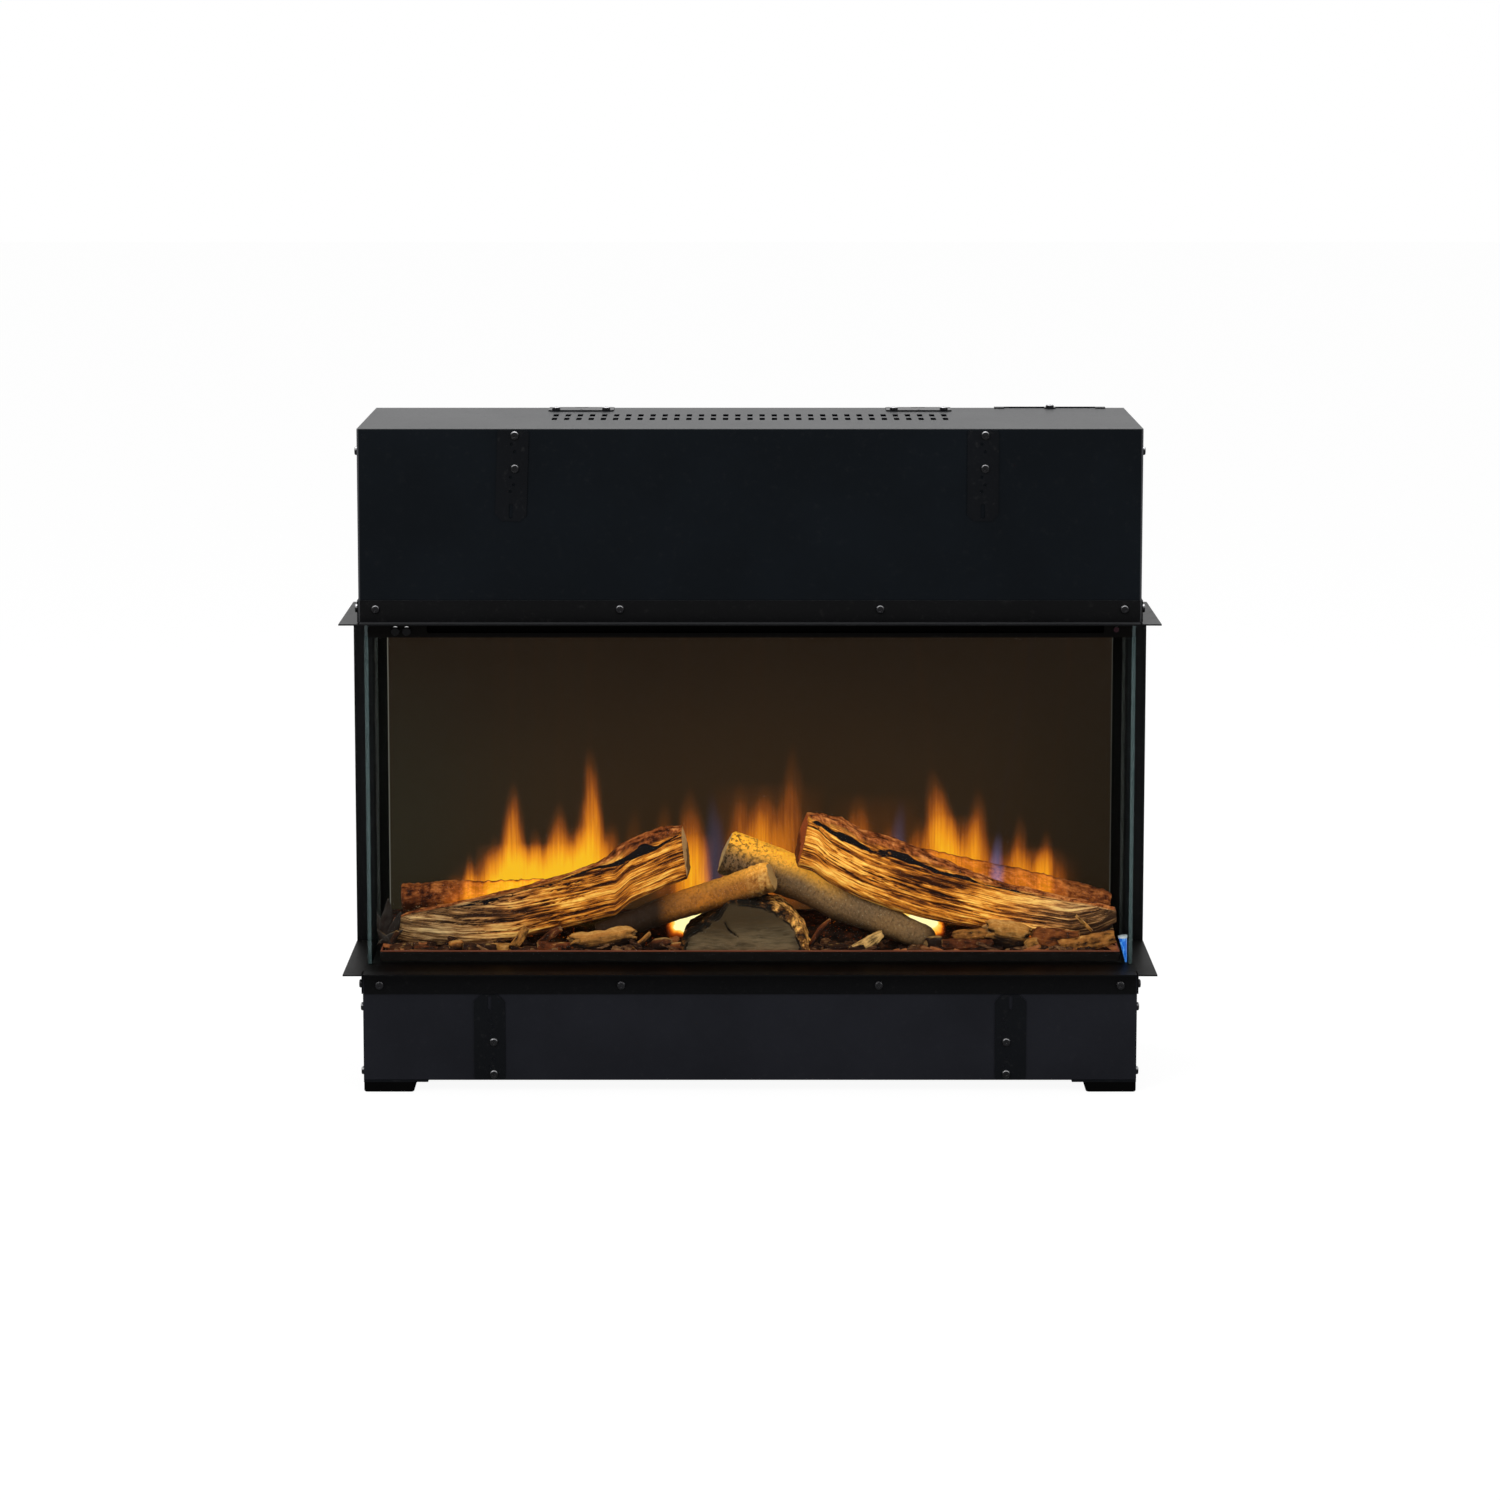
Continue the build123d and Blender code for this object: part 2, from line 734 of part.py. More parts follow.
def bracket_plate(length, line_offset, slot_place, direction):
    """One bracket against the XZ plane; its centreline crosses zero at the first screw."""
    with BuildPart() as plate:
        with BuildSketch(Plane.XZ) as outline:
            with Locations((0, direction * (length / 2 - bracket_root_margin))):
                Rectangle(bracket_width, length)
            root_end, far_end = (0, -1) if direction > 0 else (-1, 0)
            fillet(outline.vertices().group_by(Axis.Y)[root_end], radius=bracket_root_radius)
            chamfer(outline.vertices().group_by(Axis.Y)[far_end], length=bracket_end_cut)
            bracket_holes(line_offset, slot_place, direction)
        extrude(amount=bracket_sheet)
    return plate.part


tilt_shift = math.sin(math.radians(upper_bracket_tilt)) * bracket_screw_pitch / 2
upper_plate = bracket_plate(upper_bracket_length, upper_bracket_line_offset, upper_bracket_slot_place, -1)
with BuildPart() as upper_brackets:
    with Locations(
        Location(
            (upper_bracket_left_x + tilt_shift, front_y, upper_bracket_screw_z),
            (0, upper_bracket_tilt, 0),
        ),
        Location((upper_bracket_right_x, front_y, upper_bracket_screw_z)),
    ):
        add(upper_plate)

with BuildPart() as lower_brackets:
    for side in (-1, 1):
        with Locations((side * lower_bracket_x, front_y, lower_bracket_screw_z)):
            add(
                bracket_plate(
                    lower_bracket_length, -side * lower_bracket_line_offset, lower_bracket_slot_place, 1
                )
            )

with BuildPart() as top_brackets:
    with BuildSketch(Plane.XY.offset(casing_height)):
        with Locations(*[
            (side * top_bracket_x, front_y + top_bracket_setback + top_bracket_depth / 2) for side in (-1, 1)
        ]):
            RectangleRounded(top_bracket_length, top_bracket_depth, top_bracket_corner)
        with Locations(*top_bracket_screws):
            Circle(screw_hole_radius, mode=Mode.SUBTRACT)
        with Locations(*[(side * top_bracket_x, top_bracket_screw_y) for side in (-1, 1)]):
            Circle(bracket_hole_radius, mode=Mode.SUBTRACT)
        with Locations(*[(side * top_bracket_x, top_bracket_slot_y) for side in (-1, 1)]):
            SlotOverall(bracket_slot_length, bracket_slot_width, mode=Mode.SUBTRACT)
    extrude(amount=bracket_sheet)

# Feet
with BuildPart() as foot_plates:
    for side in (-1, 1):
        plate_xs = sorted([side * (half_width - foot_plate_width), side * half_width])
        block(*plate_xs, front_y, front_y + foot_plate_depth, foot_block_height, base_level)
        block(*plate_xs, rear_y - foot_plate_depth, rear_y, foot_block_height, base_level)
    drill_top(foot_places, screw_hole_radius, foot_block_height - overrun, foot_plate_thickness + 2 * overrun)

foot_screw_sink = 4.0
with BuildPart() as rubber_feet:
    with BuildSketch():
        with Locations(*foot_places):
            RectangleRounded(foot_block_width, foot_block_depth, foot_corner_radius)
    extrude(amount=foot_block_height)
    fillet(rubber_feet.edges().group_by(Axis.Z)[0], radius=foot_edge_round)
    drill_top(foot_places, screw_head_radius + screw_clearance, -overrun, foot_screw_sink + overrun)
    drill_top(foot_places, screw_hole_radius, -overrun, foot_block_height + 2 * overrun)

# Cable cover hooked over the rear top edge, and the gland through it
with BuildPart() as cable_cover:
    block(
        cover_left_x,
        cover_right_x,
        rear_y,
        rear_y + sheet,
        casing_height - cover_height,
        casing_height + sheet,
    )
    for tab_x in (cover_left_x, cover_right_x - cover_tab_width):
        block(
            tab_x,
            tab_x + cover_tab_width,
            rear_inner_y - cover_tab_reach,
            rear_y + sheet,
            casing_height,
            casing_height + sheet,
        )
    block(
        cover_centre_x - cover_screw_tab / 2,
        cover_centre_x + cover_screw_tab / 2,
        rear_inner_y - cover_screw_tab_reach,
        rear_y + sheet,
        casing_height,
        casing_height + sheet,
    )
    drill_top(
        [(cover_centre_x, cover_screw_y)],
        screw_hole_radius,
        casing_height - overrun,
        sheet + 2 * overrun,
    )
    drill_front(
        [(cover_centre_x, gland_level)], gland_radius + screw_clearance, rear_y - overrun, sheet + 2 * overrun
    )

with BuildPart() as cable_gland:
    with BuildSketch(facing_rear(cover_centre_x, rear_y + sheet, gland_level)):
        RegularPolygon(gland_flange_radius, side_count=6)
    extrude(amount=gland_flange_thickness)
    with BuildSketch(facing_rear(cover_centre_x, rear_inner_y - gland_nut_thickness, gland_level)):
        RegularPolygon(gland_flange_radius, side_count=6)
    extrude(amount=gland_nut_thickness)
    with BuildSketch(facing_rear(cover_centre_x, rear_inner_y - gland_nut_thickness, gland_level)):
        Circle(gland_radius)
    extrude(amount=gland_nut_thickness + sheet + gland_reach)
    fillet(cable_gland.edges().filter_by(GeomType.CIRCLE).sort_by(Axis.Y)[-1], radius=bend_radius)
    drill_front(
        [(cover_centre_x, gland_level)],
        gland_bore_radius,
        rear_inner_y - gland_nut_thickness - overrun,
        gland_nut_thickness + sheet + gland_reach + 2 * overrun,
    )

# Screws, in groups by what they hold
with BuildPart() as trim_screws:
    with Locations(
        *[facing_front(x, front_y - trim_sheet, z) for x, z in upper_front_holes + lower_front_holes],
        *[
            facing_side(side, half_width + trim_sheet, y, z)
            for side in (-1, 1)
            for y, z in upper_side_holes + lower_side_holes
        ],
    ):
        add(pan_screw.part)

with BuildPart() as bracket_screws:
    with Locations(
        *[
            facing_front(x, front_y - bracket_sheet, z)
            for x, z in upper_bracket_screws + lower_bracket_screws
        ],
        *[facing_up(x, y, casing_height + bracket_sheet) for x, y in top_bracket_screws],
    ):
        add(pan_screw.part)

with BuildPart() as panel_screws:
    with Locations(
        *[
            facing_side(side, half_width, y, z)
            for side in (-1, 1)
            for y, z in upper_panel_holes + lower_panel_holes
        ],
        *[facing_rear(x, rear_y, z) for x, z in rear_holes],
        *[facing_up(cover_centre_x, cover_screw_y, casing_height + sheet)],
        *[
            Plane(origin=(x, y, foot_screw_sink), x_dir=(1, 0, 0), z_dir=(0, 0, -1))
            for x, y in foot_places
        ],
    ):
        add(pan_screw.part)

# Flame screen and the parts behind it: stencil, spindle, its cradle, bush, motor and lamps
with BuildPart() as flame_screen:
    block(
        -screen_half_width, screen_half_width, screen_y, screen_y + screen_thickness, sill_level,
        ceiling_level - soft_gap,
    )

stencil_rear_space = 53.0
stencil_sheet = 1.0
stencil_end_gap = 19.8
stencil_headroom = 47.0
stencil_flame_count = 11
stencil_flame_width = 34.0
stencil_flame_height_share = 0.576
stencil_flame_level_share = 0.394
stencil_flame_pitch = 64.0
stencil_y = rear_y - stencil_rear_space
stencil_half_width = side_inner_x - stencil_end_gap
stencil_height = ceiling_level - stencil_headroom - sill_level
stencil_flame_height = stencil_height * stencil_flame_height_share
stencil_flame_level = stencil_height * stencil_flame_level_share
with BuildPart() as flame_stencil:
    with BuildSketch(Plane.XZ.offset(-(stencil_y + stencil_sheet))):
        with Locations((0, sill_level + stencil_height / 2)):
            Rectangle(2 * stencil_half_width, stencil_height)
        with Locations((0, sill_level + stencil_flame_level)):
            with GridLocations(stencil_flame_pitch, stencil_height, stencil_flame_count, 1):
                Ellipse(stencil_flame_width / 2, stencil_flame_height / 2, mode=Mode.SUBTRACT)
    extrude(amount=stencil_sheet)

spindle_rear_space = 26.0
spindle_level = 180.0
spindle_rod_radius = 3.0
spindle_paddle_count = 24
spindle_paddle_end_gap = 21.0
spindle_paddle_length = 20.0
spindle_paddle_reach = 18.0
spindle_paddle_sheet = 0.8
spindle_paddle_turn = 47.0
cradle_left_inset = 37.8
cradle_right_inset = 75.8
cradle_depth = 42.0
cradle_tab_depth = 28.0
cradle_tab_height = 66.0
bush_radius = 5.0
bush_flange_radius = 7.0
bush_flange = 1.5
bush_length = 6.0
motor_radius = 20.0
motor_length = 24.0
motor_gear_radius = 12.0
motor_gear_length = 8.0
motor_bore_depth = 12.0
spindle_y = rear_y - spindle_rear_space
cradle_left_x = cradle_left_inset - side_inner_x
cradle_right_x = side_inner_x - cradle_right_inset
cradle_length = cradle_right_x - cradle_left_x
spindle_paddle_pitch = (cradle_length - 2 * spindle_paddle_end_gap) / spindle_paddle_count
spindle_plane = Plane(origin=(0, spindle_y, spindle_level))
spindle_left_x = cradle_left_x - soft_gap - bush_length / 2
spindle_right_x = cradle_right_x + motor_bore_depth - soft_gap

with BuildPart(spindle_plane) as flame_spindle:
    with Locations(((spindle_left_x + spindle_right_x) / 2, 0, 0)):
        Cylinder(spindle_rod_radius, spindle_right_x - spindle_left_x, rotation=(0, 90, 0))
    for i in range(spindle_paddle_count):
        paddle_x = (i - (spindle_paddle_count - 1) / 2) * spindle_paddle_pitch
        paddle_x += (cradle_left_x + cradle_right_x) / 2
        with Locations(Location((paddle_x, 0, 0), (spindle_paddle_turn * i, 0, 0))):
            Box(spindle_paddle_length, 2 * spindle_paddle_reach, spindle_paddle_sheet)

with BuildPart() as spindle_cradle:
    cradle_front_y = spindle_y - cradle_depth / 2
    tab_front_y = spindle_y - cradle_tab_depth / 2
    block(
        cradle_left_x, cradle_right_x + sheet, cradle_front_y, cradle_front_y + cradle_depth, sill_level,
        sill_level + sheet,
    )
    for tab_x in (cradle_left_x, cradle_right_x):
        block(
            tab_x,
            tab_x + sheet,
            tab_front_y,
            tab_front_y + cradle_tab_depth,
            sill_level,
            sill_level + cradle_tab_height,
        )
    drill_side(
        [(spindle_y, spindle_level)],
        bush_radius + running_clearance,
        cradle_left_x - overrun,
        cradle_right_x + sheet + overrun,
    )

with BuildPart() as spindle_bush:
    with BuildSketch(Plane((cradle_left_x + sheet, spindle_y, spindle_level), z_dir=(-1, 0, 0))):
        Circle(bush_radius)
    extrude(amount=bush_length)
    with BuildSketch(Plane((cradle_left_x + sheet, spindle_y, spindle_level), z_dir=(1, 0, 0))):
        Circle(bush_flange_radius)
    extrude(amount=bush_flange)
    drill_side(
        [(spindle_y, spindle_level)],
        spindle_rod_radius + running_clearance,
        cradle_left_x - bush_length - overrun,
        cradle_left_x + bush_length + overrun,
    )

with BuildPart() as spindle_motor:
    with BuildSketch(Plane((cradle_right_x + sheet, spindle_y, spindle_level), z_dir=(1, 0, 0))):
        Circle(motor_gear_radius)
    extrude(amount=motor_gear_length)
    motor_can_x = cradle_right_x + sheet + motor_gear_length
    with BuildSketch(Plane((motor_can_x, spindle_y, spindle_level), z_dir=(1, 0, 0))):
        Circle(motor_radius)
    extrude(amount=motor_length)
    drill_side(
        [(spindle_y, spindle_level)],
        spindle_rod_radius + running_clearance,
        cradle_right_x,
        cradle_right_x + motor_bore_depth,
    )

# Lamp strips: one under the spindle, one under the fuel bed
lamp_strip_width = 12.0
lamp_strip_board = 1.6
lamp_height = 2.0
lamp_size = 5.0
lamp_count = 27
lamp_strip_end_gap = 19.5
lamp_pitch = (cradle_length - 2 * lamp_strip_end_gap) / lamp_count


def lamp_strip(x, y, z):
    """A narrow board with a row of lamps on its upper face."""
    with BuildPart() as strip:
        with BuildSketch(Plane.XY.offset(z)):
            with Locations((x, y)):
                Rectangle(lamp_pitch * lamp_count, lamp_strip_width)
        extrude(amount=lamp_strip_board)
        with BuildSketch(Plane.XY.offset(z + lamp_strip_board)):
            with Locations((x, y)):
                with GridLocations(lamp_pitch, lamp_strip_width, lamp_count, 1):
                    Rectangle(lamp_size, lamp_size)
        extrude(amount=lamp_height)
    return strip.part


with BuildPart() as flame_lamp_strip:
    add(lamp_strip((cradle_left_x + cradle_right_x) / 2, spindle_y, sill_level + sheet))

# Fuel bed: a steel tray, a moulded ember bed in it, and its own lamp strip underneath
tray_setback = 57.0
tray_side_gap = 8.5
tray_half_width = glass_side_x - glass_thickness - tray_side_gap
tray_sheet = 1.5
tray_height = 12.0
bed_gap = 0.5
bed_front_height = 10.0
bed_step_share = 0.2867
bed_rise_share = 0.5245
bed_lamp_share = 0.4126
bed_rise_height_share = 0.1875
bed_back_height_share = 0.225
bed_groove_margin = 1.0
tray_front_y = front_y + tray_setback
tray_rear_y = screen_y - bed_gap
bed_bottom = sill_level + tray_sheet
bed_front_top = sill_level + bed_front_height
bed_depth = screen_setback - tray_setback
bed_lamp_y = tray_front_y + bed_lamp_share * bed_depth
log_pile_height = 160.0
bed_rise_height = bed_rise_height_share * log_pile_height
bed_back_height = bed_back_height_share * log_pile_height

with BuildPart() as fuel_tray:
    block(
        -tray_half_width, tray_half_width, tray_front_y, tray_rear_y, sill_level, sill_level + tray_height
    )
    block(
        -tray_half_width + tray_sheet,
        tray_half_width - tray_sheet,
        tray_front_y + tray_sheet,
        tray_rear_y - tray_sheet,
        bed_bottom,
        sill_level + tray_height + overrun,
        mode=Mode.SUBTRACT,
    )

with BuildPart() as bed_lamp_strip:
    add(lamp_strip(0, bed_lamp_y, bed_bottom))


# Logs: each follows a line of stations, with its section as shares of its half sizes there


def log_stations(station_shares):
    """Stations (x, y, z, half depth, half height) from shares of the tray, the bed depth and the pile."""
    return [
        (
            across * tray_half_width,
            tray_front_y + setback * bed_depth,
            sill_level + rise * log_pile_height,
            half_depth * bed_depth,
            half_height * log_pile_height,
        )
        for across, setback, rise, half_depth, half_height in station_shares
    ]


def station_plane(stations, i):
    """The plane square to the log's line at one station."""
    ahead = stations[min(i + 1, len(stations) - 1)]
    behind = stations[max(i - 1, 0)]
    run = Vector(ahead[0] - behind[0], 0, ahead[2] - behind[2])
    return Plane(origin=stations[i][:3], x_dir=(0, 1, 0), z_dir=run)


def split_log(stations, section_shares):
    """A split log: straight-edged sections joined along the line."""
    with BuildPart() as split:
        for i, (_, _, _, half_depth, half_height) in enumerate(stations):
            with BuildSketch(station_plane(stations, i)):
                with BuildLine():
                    Polyline(*[(a * half_depth, b * half_height) for a, b in section_shares], close=True)
                make_face()
        loft(ruled=True)
    return split.part


def round_log(stations):
    """A round log or branch that tapers between its two ends."""
    with BuildPart() as branch:
        for i, (_, _, _, half_depth, half_height) in enumerate(stations):
            with BuildSketch(station_plane(stations, i)):
                Ellipse(half_depth, half_height)
        loft(ruled=True)
    return branch.part


# Stations: across the tray, back in the bed, above the sill, half depth, half height
left_split_shares = [
    (-0.9675, 0.2867, 0.1656, 0.1538, 0.1094),
    (-0.75, 0.3007, 0.2375, 0.1748, 0.1313),
    (-0.525, 0.3147, 0.35, 0.1818, 0.1562),
    (-0.17, 0.3287, 0.6937, 0.1818, 0.1938),
]
right_split_shares = [
    (0.1425, 0.3287, 0.8, 0.1818, 0.1938),
    (0.3525, 0.3147, 0.6, 0.1818, 0.2062),
    (0.575, 0.3007, 0.4188, 0.1818, 0.1750),
    (1, 0.2727, 0.2625, 0.1399, 0.0938),
]
right_birch_shares = [
    (-0.0825, 0.5524, 0.6813, 0.1783, 0.1594),
    (0.49, 0.2308, 0.175, 0.1329, 0.1187),
]
left_birch_shares = [
    (0.06, 0.1329, 0.5625, 0.1154, 0.1031),
    (-0.4125, 0.1469, 0.2188, 0.1049, 0.0938),
]
left_back_shares = [
    (-0.96, 0.8042, 0.3063, 0.1119, 0.1000),
    (-0.49, 0.8322, 0.35, 0.1049, 0.0938),
]
right_back_shares = [
    (0.4, 0.8042, 0.5875, 0.1049, 0.0938),
    (0.995, 0.7762, 0.2812, 0.0909, 0.0813),
]
split_section_shares = [
    (-0.95, -0.35),
    (-0.55, -1.0),
    (0.5, -0.85),
    (1.0, -0.1),
    (0.85, 0.7),
    (0.1, 1.0),
    (-0.6, 0.85),
    (-1.0, 0.3),
]
half_round_share = 0.4525
half_round_setback_share = 0.035
half_round_length_share = 0.4895
half_round_x = -8.5
half_round_sink = 11.5
half_round_radius = half_round_share * log_pile_height
half_round_y = tray_front_y + half_round_setback_share * bed_depth

with BuildPart() as half_round_log:
    with BuildSketch(Plane.XZ.offset(-half_round_y)):
        with Locations((half_round_x, bed_front_top - half_round_sink)):
            Circle(half_round_radius)
        with Locations((half_round_x, bed_front_top - half_round_radius)):
            Rectangle(2 * half_round_radius, 2 * half_round_radius, mode=Mode.SUBTRACT)
    extrude(amount=-half_round_length_share * bed_depth)

with BuildPart() as right_birch_log:
    add(round_log(log_stations(right_birch_shares)))
    add(half_round_log.part, mode=Mode.SUBTRACT)

with BuildPart() as left_birch_log:
    add(round_log(log_stations(left_birch_shares)))
    add(half_round_log.part, mode=Mode.SUBTRACT)
    add(right_birch_log.part, mode=Mode.SUBTRACT)

with BuildPart() as left_split_log:
    add(split_log(log_stations(left_split_shares), split_section_shares))
    add(left_birch_log.part, mode=Mode.SUBTRACT)
    add(half_round_log.part, mode=Mode.SUBTRACT)
    add(right_birch_log.part, mode=Mode.SUBTRACT)

with BuildPart() as right_split_log:
    add(split_log(log_stations(right_split_shares), split_section_shares))
    add(right_birch_log.part, mode=Mode.SUBTRACT)
    add(left_birch_log.part, mode=Mode.SUBTRACT)
    add(half_round_log.part, mode=Mode.SUBTRACT)

with BuildPart() as left_back_log:
    add(round_log(log_stations(left_back_shares)))
    add(left_split_log.part, mode=Mode.SUBTRACT)

with BuildPart() as right_back_log:
    add(round_log(log_stations(right_back_shares)))
    add(right_split_log.part, mode=Mode.SUBTRACT)

logs = [
    half_round_log,
    right_birch_log,
    left_birch_log,
    left_split_log,
    right_split_log,
    left_back_log,
    right_back_log,
]

with BuildPart() as ember_bed:
    with BuildSketch(Plane.YZ.offset(-(tray_half_width - tray_sheet - bed_gap))):
        with BuildLine():
            Polyline(
                (tray_front_y + tray_sheet + bed_gap, bed_bottom),
                (tray_front_y + tray_sheet + bed_gap, bed_front_top),
                (tray_front_y + bed_step_share * bed_depth, bed_front_top),
                (tray_front_y + bed_rise_share * bed_depth, sill_level + bed_rise_height),
                (tray_rear_y - tray_sheet - bed_gap, sill_level + bed_back_height),
                (tray_rear_y - tray_sheet - bed_gap, bed_bottom),
                close=True,
            )
        make_face()
    extrude(amount=2 * (tray_half_width - tray_sheet - bed_gap))
    block(
        -(lamp_pitch * lamp_count / 2 + bed_groove_margin),
        lamp_pitch * lamp_count / 2 + bed_groove_margin,
        bed_lamp_y - lamp_strip_width / 2 - bed_groove_margin,
        bed_lamp_y + lamp_strip_width / 2 + bed_groove_margin,
        bed_bottom,
        bed_bottom + lamp_strip_board + lamp_height + bed_groove_margin,
        mode=Mode.SUBTRACT,
    )
    for log in logs:
        add(log.part, mode=Mode.SUBTRACT)

# Bark chips along the front of the bed, each lying on it and turned its own way
chip_setback_share = 0.0804
chip_count = 29
chip_end_gap = 8.5
chip_pitch = 2 * (tray_half_width - chip_end_gap) / chip_count
chip_length = 20.0
chip_width = 9.0
chip_height = 13.0
chip_taper = 12.0
chip_turn = 137.5
chip_turn_limit = 28.0
chip_y = tray_front_y + chip_setback_share * bed_depth
chip_length_shares = [1.0, 0.7, 0.85, 0.55, 0.95]
chip_height_shares = [0.6, 1.0, 0.45, 0.8]

with BuildPart() as bark_chips:
    for i in range(chip_count):
        chip_x = (i - (chip_count - 1) / 2) * chip_pitch
        if abs(chip_x - half_round_x) < half_round_radius + chip_length / 2:
            continue
        chip_angle = chip_turn_limit * math.sin(math.radians(chip_turn * i))
        with BuildSketch(Plane.XY.offset(bed_front_top)):
            with Locations(Location((chip_x, chip_y, 0), chip_angle)):
                Rectangle(chip_length * chip_length_shares[i % len(chip_length_shares)], chip_width)
        extrude(amount=chip_height * chip_height_shares[i % len(chip_height_shares)], taper=chip_taper)

# Locating peg: a tapered plug with a collar, leaning in the gap beside the tray
peg_length = 27.0
peg_radius = 4.4
peg_tip_radius = 1.0
peg_collar_radius = 5.0
peg_collar_thickness = 2.5
peg_lean = 8.0
peg_offset = 3.0
peg_x = tray_half_width + peg_offset
peg_depth = 51.5
with BuildPart(
    Plane(Location((peg_x, front_y + peg_depth, sill_level + peg_length), (0, -peg_lean, 0)))
) as locating_peg:
    Cylinder(peg_collar_radius, peg_collar_thickness, align=(Align.CENTER, Align.CENTER, Align.MIN))
    with Locations(Location((0, 0, 0), (180, 0, 0))):
        Cone(peg_radius, peg_tip_radius, peg_length, align=(Align.CENTER, Align.CENTER, Align.MIN))

# Fan heater in the upper box: sheet housing, cross-flow wheel, motor and element
heater_sheet = 1.0
heater_front_setback = 29.0
heater_depth = 76.0
heater_height = 130.0
intake_inset = 17.0
intake_half_width = heater_half_width - intake_inset
intake_depth = 40.0
wheel_radius = 26.0
wheel_end_gap = 13.0
wheel_half_length = heater_half_width - wheel_end_gap
wheel_disc = 2.0
wheel_disc_count = 3
wheel_blade_count = 20
wheel_blade_length = 8.0
wheel_blade_sheet = 1.2
wheel_shaft_radius = 3.0
wheel_drop = 45.0
wheel_level = heater_height - wheel_drop
wheel_stub_reach = 2.0
blower_motor_radius = 25.0
blower_motor_length = 34.0
blower_bore_depth = 10.0
element_level = 28.0
element_height = 14.0
element_depth = 16.0
element_fin_count = 25
element_fin_end_gap = 14.0
element_fin_sheet = 1.0
element_core = 6.0
heater_front_y = front_y + heater_front_setback
heater_mid_y = heater_front_y + heater_depth / 2
wheel_z = ceiling_top + wheel_level
wheel_plane = Plane(origin=(0, heater_mid_y, wheel_z))
heater_top = ceiling_top + heater_height

with BuildPart() as heater_housing:
    block(
        -heater_half_width, heater_half_width, heater_front_y, heater_front_y + heater_depth, ceiling_top,
        heater_top,
    )
    block(
        -heater_half_width + heater_sheet,
        heater_half_width - heater_sheet,
        heater_front_y + heater_sheet,
        heater_front_y + heater_depth - heater_sheet,
        ceiling_top - overrun,
        heater_top - heater_sheet,
        mode=Mode.SUBTRACT,
    )
    block(
        -intake_half_width,
        intake_half_width,
        heater_mid_y - intake_depth / 2,
        heater_mid_y + intake_depth / 2,
        heater_top - heater_sheet - overrun,
        heater_top + overrun,
        mode=Mode.SUBTRACT,
    )
    drill_side(
        [(heater_mid_y, wheel_z)],
        wheel_shaft_radius + running_clearance,
        -heater_half_width - overrun,
        heater_half_width + overrun,
    )

with BuildPart(wheel_plane) as blower_wheel:
    for i in range(wheel_disc_count):
        disc_x = (2 * i / (wheel_disc_count - 1) - 1) * (wheel_half_length - wheel_disc / 2)
        with Locations((disc_x, 0, 0)):
            Cylinder(wheel_radius, wheel_disc, rotation=(0, 90, 0))
    for i in range(wheel_blade_count):
        with Locations(Location((0, 0, 0), (360 * i / wheel_blade_count, 0, 0))):
            with Locations((0, wheel_radius - wheel_blade_length / 2, 0)):
                Box(2 * wheel_half_length, wheel_blade_length, wheel_blade_sheet)
    stub_left = -heater_half_width - wheel_stub_reach
    stub_right = heater_half_width + blower_bore_depth - soft_gap
    for stub_from, stub_to in ((stub_left, -wheel_half_length), (wheel_half_length, stub_right)):
        with Locations(((stub_from + stub_to) / 2, 0, 0)):
            Cylinder(wheel_shaft_radius, stub_to - stub_from, rotation=(0, 90, 0))

with BuildPart() as blower_motor:
    with BuildSketch(Plane((heater_half_width, heater_mid_y, wheel_z), z_dir=(1, 0, 0))):
        Circle(blower_motor_radius)
    extrude(amount=blower_motor_length)
    drill_side(
        [(heater_mid_y, wheel_z)],
        wheel_shaft_radius + running_clearance,
        heater_half_width - overrun,
        heater_half_width + blower_bore_depth,
    )

with BuildPart() as heating_element:
    element_half = heater_half_width - heater_sheet
    element_fin_pitch = 2 * (element_half - element_fin_end_gap) / (element_fin_count - 1)
    element_y = (fascia_front_y + fascia_rear_y) / 2
    element_z = ceiling_top + element_level
    block(
        -element_half,
        element_half,
        element_y - element_core / 2,
        element_y + element_core / 2,
        element_z - element_height / 2,
        element_z + element_height / 2,
    )
    for i in range(element_fin_count):
        fin_x = (i - (element_fin_count - 1) / 2) * element_fin_pitch
        block(
            fin_x - element_fin_sheet / 2,
            fin_x + element_fin_sheet / 2,
            element_y - element_depth / 2,
            element_y + element_depth / 2,
            element_z - element_height / 2,
            element_z + element_height / 2,
        )

